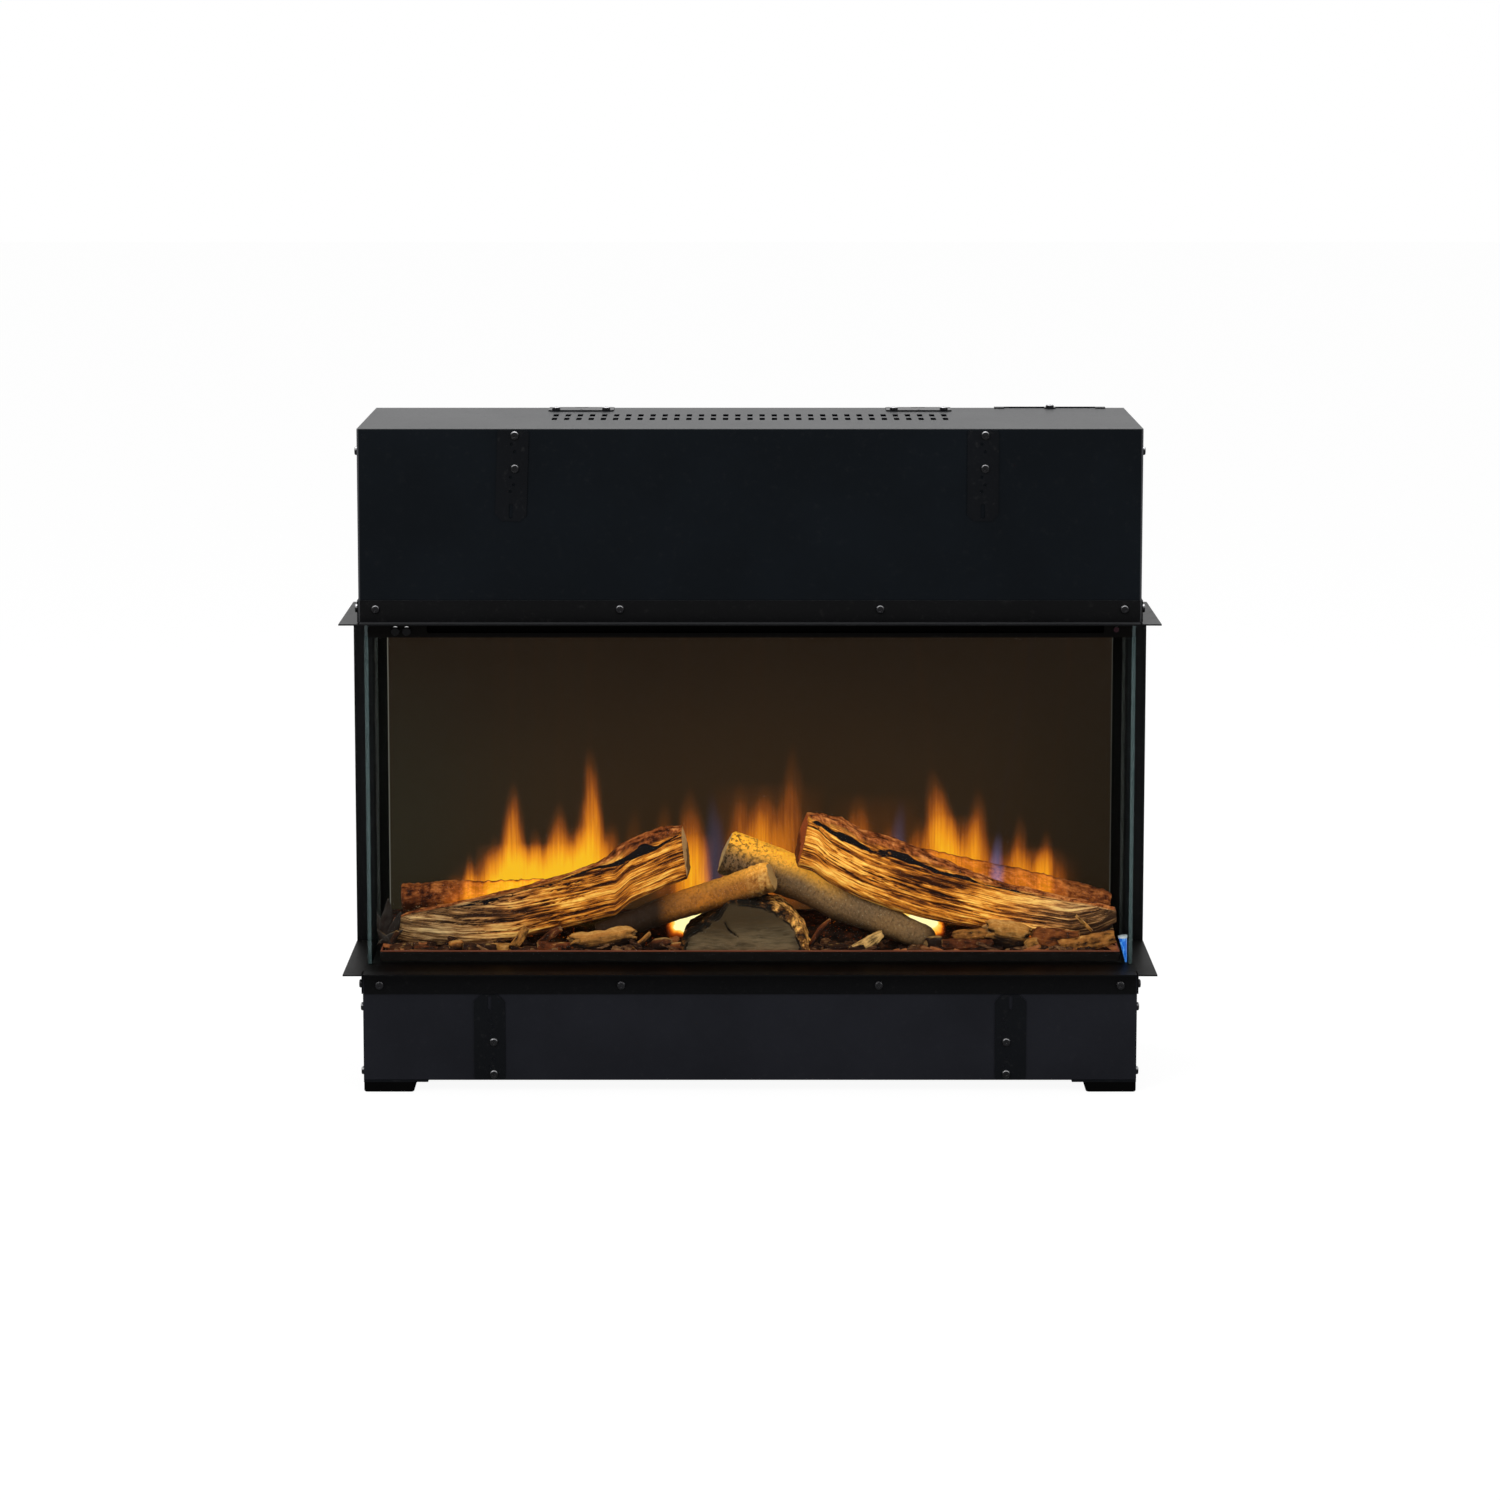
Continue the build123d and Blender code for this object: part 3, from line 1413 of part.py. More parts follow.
# Control board: board, transformer, relays and terminal block on four pillars
board_motor_gap = 31.0
board_width = 130.0
board_left_x = heater_half_width + blower_motor_length + board_motor_gap
board_right_x = board_left_x + board_width
board_front_setback = 120.0
board_rear_setback = 220.0
board_thickness = 1.6
pillar_height = 8.0
pillar_radius = 3.0
pillar_inset = 6.0
board_inset = 12.0
transformer_width = 42.0
transformer_depth = 36.0
transformer_height = 32.0
relay_width = 18.0
relay_depth = 28.0
relay_height = 16.0
relay_pitch = 24.0
relay_count = 2
terminal_width = 34.0
terminal_depth = 14.0
terminal_height = 18.0
board_base = ceiling_top + pillar_height
board_top = board_base + board_thickness
board_front_y = front_y + board_front_setback
board_rear_y = front_y + board_rear_setback
with BuildPart() as control_board:
    block(board_left_x, board_right_x, board_front_y, board_rear_y, board_base, board_top)
    with BuildSketch(Plane.XY.offset(ceiling_top)):
        with Locations(((board_left_x + board_right_x) / 2, (board_front_y + board_rear_y) / 2)):
            with GridLocations(
                board_right_x - board_left_x - 2 * pillar_inset,
                board_rear_y - board_front_y - 2 * pillar_inset,
                2,
                2,
            ):
                Circle(pillar_radius)
    extrude(amount=pillar_height)
    block(
        board_left_x + board_inset,
        board_left_x + board_inset + transformer_width,
        board_front_y + board_inset,
        board_front_y + board_inset + transformer_depth,
        board_top,
        board_top + transformer_height,
    )
    for i in range(relay_count):
        relay_x = board_right_x - board_inset - relay_width - relay_pitch * i
        block(
            relay_x,
            relay_x + relay_width,
            board_front_y + board_inset,
            board_front_y + board_inset + relay_depth,
            board_top,
            board_top + relay_height,
        )
    block(
        board_right_x - board_inset - terminal_width,
        board_right_x - board_inset,
        board_rear_y - board_inset - terminal_depth,
        board_rear_y - board_inset,
        board_top,
        board_top + terminal_height,
    )

pieces = {
    "upper_case": upper_case,
    "upper_left_side": upper_left_side,
    "upper_right_side": upper_right_side,
    "upper_ceiling": upper_ceiling,
    "lower_case": lower_case,
    "lower_left_side": lower_left_side,
    "lower_right_side": lower_right_side,
    "sill_plate": sill_plate,
    "left_post": left_post,
    "right_post": right_post,
    "rear_panel": rear_panel,
    "upper_front_trim": upper_front_trim,
    "lower_front_trim": lower_front_trim,
    "upper_left_trim": upper_left_trim,
    "upper_right_trim": upper_right_trim,
    "lower_left_trim": lower_left_trim,
    "lower_right_trim": lower_right_trim,
    "rear_trims": rear_trims,
    "front_glass": front_glass,
    "left_glass": left_glass,
    "right_glass": right_glass,
    "control_fascia": control_fascia,
    "standby_button": standby_button,
    "heat_button": heat_button,
    "switch_board": switch_board,
    "remote_receiver": remote_receiver,
    "upper_brackets": upper_brackets,
    "lower_brackets": lower_brackets,
    "top_brackets": top_brackets,
    "foot_plates": foot_plates,
    "rubber_feet": rubber_feet,
    "cable_cover": cable_cover,
    "cable_gland": cable_gland,
    "trim_screws": trim_screws,
    "bracket_screws": bracket_screws,
    "panel_screws": panel_screws,
    "flame_screen": flame_screen,
    "flame_stencil": flame_stencil,
    "flame_spindle": flame_spindle,
    "spindle_cradle": spindle_cradle,
    "spindle_bush": spindle_bush,
    "spindle_motor": spindle_motor,
    "flame_lamp_strip": flame_lamp_strip,
    "fuel_tray": fuel_tray,
    "ember_bed": ember_bed,
    "bed_lamp_strip": bed_lamp_strip,
    "half_round_log": half_round_log,
    "right_birch_log": right_birch_log,
    "left_birch_log": left_birch_log,
    "left_split_log": left_split_log,
    "right_split_log": right_split_log,
    "left_back_log": left_back_log,
    "right_back_log": right_back_log,
    "bark_chips": bark_chips,
    "locating_peg": locating_peg,
    "heater_housing": heater_housing,
    "blower_wheel": blower_wheel,
    "blower_motor": blower_motor,
    "heating_element": heating_element,
    "control_board": control_board,
}

os.makedirs("parts", exist_ok=True)
for name, piece in pieces.items():
    piece.part.label = name
    export_step(piece.part, f"parts/{name}.step")
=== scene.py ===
import math

import bmesh
import bpy
import numpy as np
from mathutils import Euler, Matrix, Vector


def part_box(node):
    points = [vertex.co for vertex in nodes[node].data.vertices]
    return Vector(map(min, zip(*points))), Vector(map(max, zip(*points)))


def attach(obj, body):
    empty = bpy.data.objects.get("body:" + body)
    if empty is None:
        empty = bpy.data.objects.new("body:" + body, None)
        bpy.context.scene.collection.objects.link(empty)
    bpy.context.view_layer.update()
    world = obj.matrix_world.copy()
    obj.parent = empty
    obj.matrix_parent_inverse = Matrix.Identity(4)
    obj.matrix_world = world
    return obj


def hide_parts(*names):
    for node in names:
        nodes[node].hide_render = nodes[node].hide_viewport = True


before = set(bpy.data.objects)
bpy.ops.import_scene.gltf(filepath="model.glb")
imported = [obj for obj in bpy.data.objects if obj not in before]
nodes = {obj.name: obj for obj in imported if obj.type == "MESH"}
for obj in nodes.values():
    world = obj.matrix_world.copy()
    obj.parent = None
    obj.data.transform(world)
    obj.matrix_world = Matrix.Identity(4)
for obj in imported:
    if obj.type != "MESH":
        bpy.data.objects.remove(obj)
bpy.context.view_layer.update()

# Looks for a built-in electric fire: metres, the window faces -Y, Z is up.

mm = 0.001
black = (0.0, 0.0, 0.0)
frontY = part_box("upper_case")[0].y      # front plane of the casing


def shade(colour, amount):
    return tuple(channel * amount for channel in colour)


# Shader kit
def arithmetic(operation, swapped=False):
    def apply(wire, other):
        return wire.paint.maths(operation, *((other, wire) if swapped else (wire, other)))
    return apply


class Wire:     # a node's output, so that shader maths reads as arithmetic
    __add__ = __radd__ = arithmetic("ADD")
    __mul__ = __rmul__ = arithmetic("MULTIPLY")
    __sub__ = arithmetic("SUBTRACT")
    __rsub__ = arithmetic("SUBTRACT", swapped=True)
    __truediv__ = arithmetic("DIVIDE")
    __pow__ = arithmetic("POWER")

    def __init__(self, paint, socket):
        self.paint = paint
        self.socket = socket

    def rise(self, low, high):      # 0 at low, 1 at high, smooth between
        return self.paint.node("ShaderNodeMapRange", {"interpolation_type": "SMOOTHSTEP"},
                               {0: self, 1: low, 2: high})

    def least(self, floor):
        return self.paint.maths("MAXIMUM", self, floor)


class Paint:    # one material, or the sky, while it is put together
    inputs = {"colour": "Base Color", "roughness": "Roughness", "metal": "Metallic", "shine": "Specular IOR Level",
              "coat": "Coat Weight", "coatRoughness": "Coat Roughness", "glow": "Emission Color",
              "power": "Emission Strength", "normal": "Normal"}

    def __init__(self, name, sky=False):
        self.owner = (bpy.data.worlds if sky else bpy.data.materials).new(name)
        self.owner.use_nodes = True
        self.tree = self.owner.node_tree
        self.tree.nodes.clear()
        self.place = None if sky else self.node("ShaderNodeTexCoord", output="Object")

    def node(self, kind, settings=None, sockets=None, output=0):
        made = self.tree.nodes.new(kind)
        for setting, value in (settings or {}).items():
            if setting == "stops":
                ramp = made.color_ramp
                ramp.elements.remove(ramp.elements[1])
                ramp.elements[0].position = value[0][0]
                ramp.elements[0].color = (*value[0][1], 1)
                for position, colour in value[1:]:
                    ramp.elements.new(position).color = (*colour, 1)
            else:
                setattr(made, setting, value)
        for socket, value in (sockets or {}).items():
            entry = made.inputs[socket]
            if isinstance(value, Wire):
                self.tree.links.new(value.socket, entry)
            elif value is not None:
                entry.default_value = (*value, 1) if entry.type == "RGBA" else value
        return Wire(self, made.outputs[output]) if made.outputs else None

    def maths(self, operation, a, b):
        return self.node("ShaderNodeMath", {"operation": operation}, {0: a, 1: b})

    def stretched(self, scale, place=None):
        return self.node("ShaderNodeMapping", None, {0: place or self.place, 3: scale})

    def noise(self, scale, place=None, detail=3.0, roughness=0.55):
        return self.node("ShaderNodeTexNoise", None,
                         {"Vector": place or self.place, "Scale": scale, "Detail": detail, "Roughness": roughness})

    def streaks(self, scale, place=None, detail=3.0, roughness=0.55):
        return self.noise(1.0, self.stretched(scale, place), detail, roughness)

    def cells(self, scale, place=None, feature="F1", output=0):
        return self.node("ShaderNodeTexVoronoi", {"feature": feature},
                         {"Vector": place or self.place, "Scale": scale}, output)

    def ramp(self, amount, stops):
        return self.node("ShaderNodeValToRGB", {"stops": stops}, {0: amount})

    def mix(self, amount, a, b, blend="MIX"):
        return self.node("ShaderNodeMix", {"data_type": "RGBA", "blend_type": blend}, {0: amount, 6: a, 7: b}, 2)

    def vary(self, amount, colour, low, high=1.0):
        return self.mix(amount, shade(colour, low), shade(colour, high))

    def glowSum(self, a, b):
        return self.mix(1.0, a, b, "ADD")

    def bump(self, height, depth):      # depth in mm
        return self.node("ShaderNodeBump", None, {"Strength": 1.0, "Distance": depth * mm, "Height": height})

    def axes(self):
        split = self.node("ShaderNodeSeparateXYZ", None, {0: self.place})
        return [Wire(self, out) for out in split.socket.node.outputs]

    def facing(self, axis=2):       # how far the surface looks along +X, +Y or +Z
        normal = self.node("ShaderNodeNewGeometry", output="Normal")
        return self.node("ShaderNodeSeparateXYZ", None, {0: normal}, axis)

    def painted(self, attribute, output="Fac"):
        return self.node("ShaderNodeAttribute", {"attribute_name": attribute}, None, output)

    def surface(self, **look):
        if "glow" in look:
            look.setdefault("power", 1.0)
        sockets = {self.inputs[word]: value for word, value in look.items()}
        return self.finish(self.node("ShaderNodeBsdfPrincipled", None, sockets))

    def finish(self, shader, output="ShaderNodeOutputMaterial"):
        self.node(output, None, {0: shader})
        return self.owner


def outside(x, edge, start, full):      # 0 to 1 from start to full, mm inside the edge on both sides
    return (x * x).rise(((edge - start) * mm) ** 2, ((edge - full) * mm) ** 2)


def dress(material, *names):
    for name in names:
        slots = nodes[name].data.materials
        slots.clear()
        slots.append(material)


def dressAll(recipe, looks):
    for name, look in looks.items():
        dress(recipe(name, look), *look["nodes"])


# Casing, trims and small hardware
def powderCoat(name, look):
    paint = Paint(name)
    pores = paint.noise(look["grain"], detail=2.0)
    cloud = paint.noise(9.0, detail=4.0)
    dust = paint.noise(140.0, detail=5.0, roughness=0.7).rise(0.56, 0.72)
    tone = paint.vary(cloud.rise(0.3, 0.7), look["colour"], 0.86, 1.14)
    tone = paint.mix(pores.rise(0.62, 0.74) * look["fleck"], tone, look["fleckColour"])
    tone = paint.mix(dust * look["dust"], tone, (0.16, 0.155, 0.15))
    # painted light: upward faces are mixed towards the top tone, a lighter colour that stands in for light from above
    upward = paint.facing().rise(0.5, 0.95)
    tone = paint.mix(upward * pores.rise(0.2, 0.75), tone, look["topTone"])
    # painted highlight: a lighter line along both side edges of the front face
    if "edgeAt" in look:
        x, y, z = paint.axes()
        front = y.rise(frontY + 1.2 * mm, frontY + 0.5 * mm)
        tone = paint.mix(outside(x, look["edgeAt"], 2.2, 1.2) * front * (0.5 + cloud), tone, look["edgeTone"])
    return paint.surface(
        colour=tone, roughness=look["roughness"] + 0.1 * cloud - 0.05 + 0.12 * dust, shine=look["shine"],
        coat=upward * look["topGloss"] * (0.75 + 0.5 * pores), coatRoughness=0.28,
        normal=paint.bump(pores, look["peel"]))


def sheetMetal(name, look):
    paint = Paint(name)
    spangle = paint.cells(look["spangle"], output="Color")
    tint = paint.node("ShaderNodeSeparateXYZ", None, {0: spangle})
    rubbed = paint.streaks(look["brush"], detail=4.0, roughness=0.65)
    return paint.surface(
        colour=paint.vary(tint * 0.6 + rubbed * 0.4, look["colour"], 0.72, 1.12), metal=1.0,
        roughness=look["roughness"] + 0.2 * rubbed - 0.1, normal=paint.bump(rubbed, 0.02))


def mouldedPlastic(name, look):
    paint = Paint(name)
    pebble = paint.cells(look["pebble"])
    smear = paint.noise(35.0, detail=4.0)
    tone = paint.vary(smear.rise(0.35, 0.65), look["colour"], 0.85, 1.15)
    upward = paint.facing()
    # painted highlight: upward faces turn near-white by the lip amount, and a glint glows on the top rim as a painted
    # glint; the coat there is a real gloss
    return paint.surface(
        colour=paint.mix(upward.rise(0.72, 0.95) * look["lip"], tone, (0.9, 0.9, 0.92)),
        roughness=look["roughness"] + 0.16 * smear - 0.08, shine=look["shine"],
        coat=upward.rise(0.15, 0.7) * look["lip"], coatRoughness=0.08,
        glow=paint.mix(upward.rise(0.88, 0.985), black, (look["glint"],) * 3),
        normal=paint.bump(pebble, look["depth"]))


plainCoat = {"grain": 1500, "fleck": 0.1, "dust": 0.02, "shine": 0.04, "topGloss": 0.0, "peel": 0.05}
trimSteel = {"colour": (0.0014, 0.0015, 0.0018), "grain": 1100, "fleck": 0.22, "fleckColour": (0.035, 0.036, 0.04),
             "peel": 0.06}
coats = {
    "upperCoat": {
        **plainCoat, "colour": (0.0023, 0.0035, 0.005), "fleckColour": (0.02, 0.022, 0.026), "dust": 0.015,
        "roughness": 0.47, "topGloss": 0.31, "topTone": (0.004, 0.005, 0.007),
        "edgeAt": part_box("upper_case")[1].x / mm, "edgeTone": (0.05, 0.051, 0.055),
        "nodes": ["upper_case", "upper_left_side", "upper_right_side", "rear_panel"]},
    "lowerCoat": {
        **plainCoat, "colour": (0.0084, 0.0089, 0.0118), "fleckColour": (0.03, 0.031, 0.036), "dust": 0.015,
        "roughness": 0.5, "topGloss": 0.2, "topTone": (0.009, 0.01, 0.012),
        "nodes": ["lower_case", "lower_left_side", "lower_right_side"]},
    "trimCoat": {
        **plainCoat, **trimSteel, "dust": 0.03, "roughness": 0.42, "shine": 0.06, "topGloss": 0.03,
        "topTone": (0.052, 0.053, 0.056),
        "nodes": ["upper_front_trim", "upper_left_trim", "upper_right_trim", "rear_trims"]},
    # the sill trims get only a faint painted top light, so their tops stay dark as in shade
    "sillTrimCoat": {
        **plainCoat, **trimSteel, "roughness": 0.46, "topTone": (0.0065, 0.006, 0.0055),
        "nodes": ["lower_front_trim", "lower_left_trim", "lower_right_trim"]},
    "bracketCoat": {
        **plainCoat, "colour": (0.0017, 0.0022, 0.0032), "grain": 1300, "fleck": 0.12,
        "fleckColour": (0.03, 0.03, 0.035), "dust": 0.04, "roughness": 0.38, "shine": 0.06, "topGloss": 0.3,
        "topTone": (0.01, 0.01, 0.012), "peel": 0.04,
        "nodes": ["upper_brackets", "lower_brackets", "top_brackets", "foot_plates", "cable_cover"]},
    "chamberCoat": {
        **plainCoat, "colour": (0.0014, 0.0012, 0.001), "grain": 1300, "fleck": 0.05,
        "fleckColour": (0.01, 0.008, 0.007), "roughness": 0.45, "shine": 0.03, "topTone": (0.0014, 0.0011, 0.001),
        "nodes": ["upper_ceiling", "left_post", "right_post", "sill_plate", "control_fascia"]},
}
metals = {
    "zincSheet": {"colour": (0.52, 0.54, 0.56), "spangle": 160.0, "brush": (60, 60, 500), "roughness": 0.38,
                  "nodes": ["flame_stencil", "spindle_cradle", "heater_housing"]},
    "motorCan": {"colour": (0.48, 0.48, 0.47), "spangle": 500.0, "brush": (40, 900, 900), "roughness": 0.3,
                 "nodes": ["spindle_motor", "blower_motor"]},
    "rolledAluminium": {"colour": (0.7, 0.71, 0.73), "spangle": 700.0, "brush": (30, 700, 700), "roughness": 0.26,
                        "nodes": ["flame_spindle", "blower_wheel", "heating_element"]},
    "bushBronze": {"colour": (0.5, 0.3, 0.12), "spangle": 1500.0, "brush": (300, 300, 300), "roughness": 0.42,
                   "nodes": ["spindle_bush"]},
}
plastics = {
    "footRubber": {"colour": (0.001, 0.001, 0.001), "pebble": 900.0, "depth": 0.05, "roughness": 0.8,
                   "shine": 0.02, "lip": 0.0, "glint": 0.0, "nodes": ["rubber_feet"]},
    "buttonGloss": {"colour": (0.003, 0.003, 0.0035), "pebble": 2500.0, "depth": 0.004, "roughness": 0.22,
                    "shine": 0.07, "lip": 1.0, "glint": 1.4, "nodes": ["standby_button", "heat_button"]},
    "receiverLens": {"colour": (0.02, 0.004, 0.008), "pebble": 2500.0, "depth": 0.003, "roughness": 0.14,
                     "shine": 0.1, "lip": 1.0, "glint": 0.0, "nodes": ["remote_receiver"]},
    "glandNylon": {"colour": (0.012, 0.012, 0.012), "pebble": 1400.0, "depth": 0.03, "roughness": 0.55,
                   "shine": 0.3, "lip": 0.2, "glint": 0.0, "nodes": ["cable_gland"]},
}
dressAll(powderCoat, coats)
dressAll(sheetMetal, metals)
dressAll(mouldedPlastic, plastics)


def litTray():      # dark steel whose lip glows where the embers shine on it
    look = {"colour": (0.003, 0.0015, 0.001), "lip": (0.17, 0.046, 0.022), "line": 1.7 * mm}
    paint = Paint("litTray")
    x, y, z = paint.axes()
    grain = paint.noise(900.0)
    patch = paint.noise(16.0)
    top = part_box("fuel_tray")[1].z
    lip = z.rise(top - look["line"], top - 0.5 * look["line"]) * (0.45 + 0.9 * patch)
    return paint.surface(
        colour=paint.vary(grain, look["colour"], 0.7, 1.3), roughness=0.4 + 0.15 * grain, shine=0.1,
        glow=paint.mix(lip, black, look["lip"]), normal=paint.bump(grain, 0.03))


def blackedScrew():
    look = {"colour": (0.006, 0.006, 0.007), "rub": (0.1, 0.1, 0.105), "crestHighlight": (0.8, 0.8, 0.82), "roughness": 0.24}
    paint = Paint("blackedScrew")
    upward = paint.facing().rise(0.1, 0.75)
    rub = paint.noise(900.0, detail=4.0, roughness=0.7).rise(0.56, 0.7)
    # painted highlight: upward faces of the heads turn near-white by the crest colour; the rub colour is wear
    bright = paint.mix(upward, look["rub"], look["crestHighlight"])
    return paint.surface(
        colour=paint.mix(rub * 0.3 + upward * 0.7, look["colour"], bright), metal=0.8,
        roughness=look["roughness"] + 0.2 * rub, normal=paint.bump(rub, 0.01))


def lampBoard():
    look = {"board": (0.78, 0.76, 0.7), "lamp": (0.9, 0.66, 0.2), "glow": (1.0, 0.62, 0.2), "pitch": 25.0}
    paint = Paint("lampBoard")
    x, y, z = paint.axes()
    grain = paint.noise(700.0)
    row = paint.maths("COSINE", x * (2 * math.pi / (look["pitch"] * mm)), 0.0)
    lamp = row.rise(0.55, 0.8) * paint.facing().rise(0.5, 0.9)
    return paint.surface(
        colour=paint.mix(lamp, paint.vary(grain, look["board"], 0.8), look["lamp"]),
        roughness=0.4 + 0.2 * grain, glow=paint.mix(lamp, black, look["glow"]), power=1.6,
        normal=paint.bump(grain, 0.02))


def circuitBoard():
    paint = Paint("circuitBoard")
    tracks = paint.cells(220.0, feature="DISTANCE_TO_EDGE").rise(0.04, 0.08)
    weave = paint.noise(1200.0, detail=2.0)
    return paint.surface(
        colour=paint.mix(tracks, (0.06, 0.3, 0.14), (0.012, 0.1, 0.045)), roughness=0.35 + 0.2 * weave,
        normal=paint.bump(tracks, 0.03))


def pegBlue():
    look = {"blue": (0.01, 0.13, 0.62), "streak": (0.18, 0.55, 1.0), "collar": (0.7, 0.74, 0.78)}
    paint = Paint("pegBlue")
    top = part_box("locating_peg")[1].z
    x, y, z = paint.axes()
    mould = paint.noise(420.0)
    collar = z.rise(top - 3.6 * mm, top - 3.0 * mm)
    streak = paint.streaks((900, 900, 40), detail=2.0).rise(0.52, 0.62)
    body = paint.mix(streak * 0.7, look["blue"], look["streak"])
    # painted light: the blue body glows faintly, though it is no lamp; the collar does not glow
    return paint.surface(
        colour=paint.mix(collar, body, paint.vary(mould, look["collar"], 0.8)), roughness=0.22 + 0.12 * mould,
        glow=paint.mix(collar, body, black), power=0.35, normal=paint.bump(mould, 0.02))


dress(litTray(), "fuel_tray")
dress(blackedScrew(), "trim_screws", "bracket_screws", "panel_screws")
dress(lampBoard(), "flame_lamp_strip", "bed_lamp_strip")
dress(circuitBoard(), "control_board", "switch_board")
dress(pegBlue(), "locating_peg")
print("stage: casing and hardware dressed")


# Glass
def paneGlass(name, look):
    paint = Paint(name)
    across = paint.facing(look["thin"])
    edge = (1.0 - across * across).rise(0.3, 0.7)
    x, y, z = paint.axes()
    near = y.rise(frontY + 120 * mm, frontY + 60 * mm)
    flow = paint.streaks((30, 30, 6))
    wipe = paint.noise(26.0, detail=5.0, roughness=0.6)
    # painted shade: towards the back the edges turn from the green edge colour to the darker rear edge colour and
    # grow fainter
    rim = paint.mix(near, look["rearEdge"], paint.vary(flow, look["edge"], 0.75, 1.25))
    clear = paint.node("ShaderNodeBsdfTransparent", None, {"Color": look["tint"]})
    body = paint.node("ShaderNodeBsdfPrincipled", None, {
        "Base Color": paint.mix(edge, look["film"], rim), "Roughness": 0.06 + 0.06 * wipe, "Specular IOR Level": 0.3})
    share = look["filmShare"] * (0.6 + 0.8 * wipe) + edge * (0.3 + 0.4 * near)
    return paint.finish(paint.node("ShaderNodeMixShader", None, {0: share, 1: clear, 2: body}))


greenGlass = {"edge": (0.085, 0.125, 0.128), "rearEdge": (0.045, 0.046, 0.04), "film": (0.02, 0.03, 0.03),
              "filmShare": 0.012, "tint": (0.965, 0.985, 0.98)}
panes = {       # thin is the axis across the pane: 0 for X, 1 for Y
    "frontPane": {**greenGlass, "thin": 1, "nodes": ["front_glass"]},
    "sidePane": {**greenGlass, "thin": 0, "nodes": ["left_glass", "right_glass"]},
}
dressAll(paneGlass, panes)

# Flames on the smoked screen
# tongues: x, foot z, tip z, half width (mm), lean of the tip (mm), strength
flamePicture = {
    "tongues": [
        (-331, 150, 208, 9, 2, 0.3), (-311, 150, 230, 10, 0, 0.55), (-284, 155, 248, 12, 2, 0.7),
        (-262, 160, 308, 16, 0, 1.08), (-237, 165, 256, 12, 0, 0.72), (-213, 170, 286, 16, 2, 0.8),
        (-192, 175, 256, 13, -2, 0.6), (-177, 178, 346, 16, 1, 0.95), (-154, 185, 262, 12, 4, 0.35),
        (-130, 190, 284, 11, 3, 0.12), (-97, 190, 288, 14, 2, 0.24), (-62, 150, 302, 19, -5, 0.72),
        (-13, 190, 310, 17, 2, 0.3), (6, 190, 296, 14, 0, 0.3), (19, 200, 306, 20, -3, 0.46),
        (42, 200, 352, 17, 6, 0.27), (123, 200, 296, 17, -3, 0.4), (157, 190, 266, 12, 0, 0.26),
        (187, 190, 268, 14, 0, 0.36), (221, 180, 322, 19, -19, 0.86), (246, 175, 302, 16, 8, 0.56),
        (281, 165, 232, 9, 3, 0.42), (297, 165, 272, 11, 2, 0.5), (318, 160, 254, 12, 11, 0.72),
        (344, 160, 232, 8, 2, 0.22),
    ],
    "blues": [(-41, 190, 300, 12, 0, 0.12), (165, 190, 290, 9, 2, 0.17), (264, 168, 252, 8, 13, 0.62)],
    "beds": [       # x, z, half width, half height (mm), strength
        (-243, 190, 42, 34, 0.56), (-302, 166, 26, 26, 0.3), (-178, 196, 24, 44, 0.2), (-64, 192, 17, 40, 0.32),
        (20, 222, 46, 60, 0.12), (140, 210, 40, 60, 0.08), (226, 214, 24, 40, 0.3), (318, 192, 20, 30, 0.26),
    ],
    # x, z, rise, then the x where it starts, is full, fades and ends, strength
    "slopes": [(-223, 188, 0.286, -332, -306, -186, -140, 0.54), (250, 196, -0.24, 165, 215, 325, 372, 0.24)],
    "fire": [(0.0, black), (0.12, (0.048, 0.011, 0.001)), (0.3, (0.22, 0.046, 0.003)), (0.5, (0.56, 0.145, 0.005)),
             (0.74, (0.9, 0.3, 0.007)), (0.95, (1.0, 0.46, 0.01)), (1.0, (1.0, 0.52, 0.011))],
    "blue": (0.11, 0.17, 0.42),
}


def flameLight(paint):      # the projected fire, as one amount and one blue amount
    x, y, z = paint.axes()
    sway = paint.streaks((24, 0, 11), detail=2.0) - 0.5
    flick = paint.streaks((130, 0, 16))
    streak = paint.streaks((420, 0, 14), detail=2.0)
    x = (x + sway * 0.016) / mm
    z = z / mm

    def tongue(place, foot, tip, half, lean, strength):
        climb = (z - foot) / (tip - foot)
        left = (1.0 - climb).least(0.0)
        side = (x - place - lean * climb) / ((left ** 0.6) * half + 1.5)
        body = (1.0 - side * side * 0.42).least(0.0)
        return body * body * left.rise(-0.04, 0.72) * climb.rise(-0.35, 0.1) * strength

    def bed(place, level, spread, height, strength):
        across, up = (x - place) / spread, (z - level) / height
        return (1.0 - across * across * 0.5).least(0.0) * (1.0 - up * up * 0.5).least(0.0) * strength

    def slope(place, level, climb, low, lowFull, highFull, high, strength):
        above = z - level - climb * (x - place)
        return (1.0 - above.rise(2, 62)) * x.rise(low, lowFull) * (1.0 - x.rise(highFull, high)) * strength

    def total(shape, rows):
        return sum(shape(*row) for row in flamePicture[rows])

    beds = total(bed, "beds") + total(slope, "slopes")
    fire = (total(tongue, "tongues") + beds * 1.15) * (0.1 + 0.8 * flick + streak)
    return fire * 1.25 / (fire * 0.6 + 1.0), total(tongue, "blues")


def flameColour(paint, fire, blue):
    return paint.glowSum(paint.ramp(fire, flamePicture["fire"]), paint.mix(blue, black, flamePicture["blue"]))


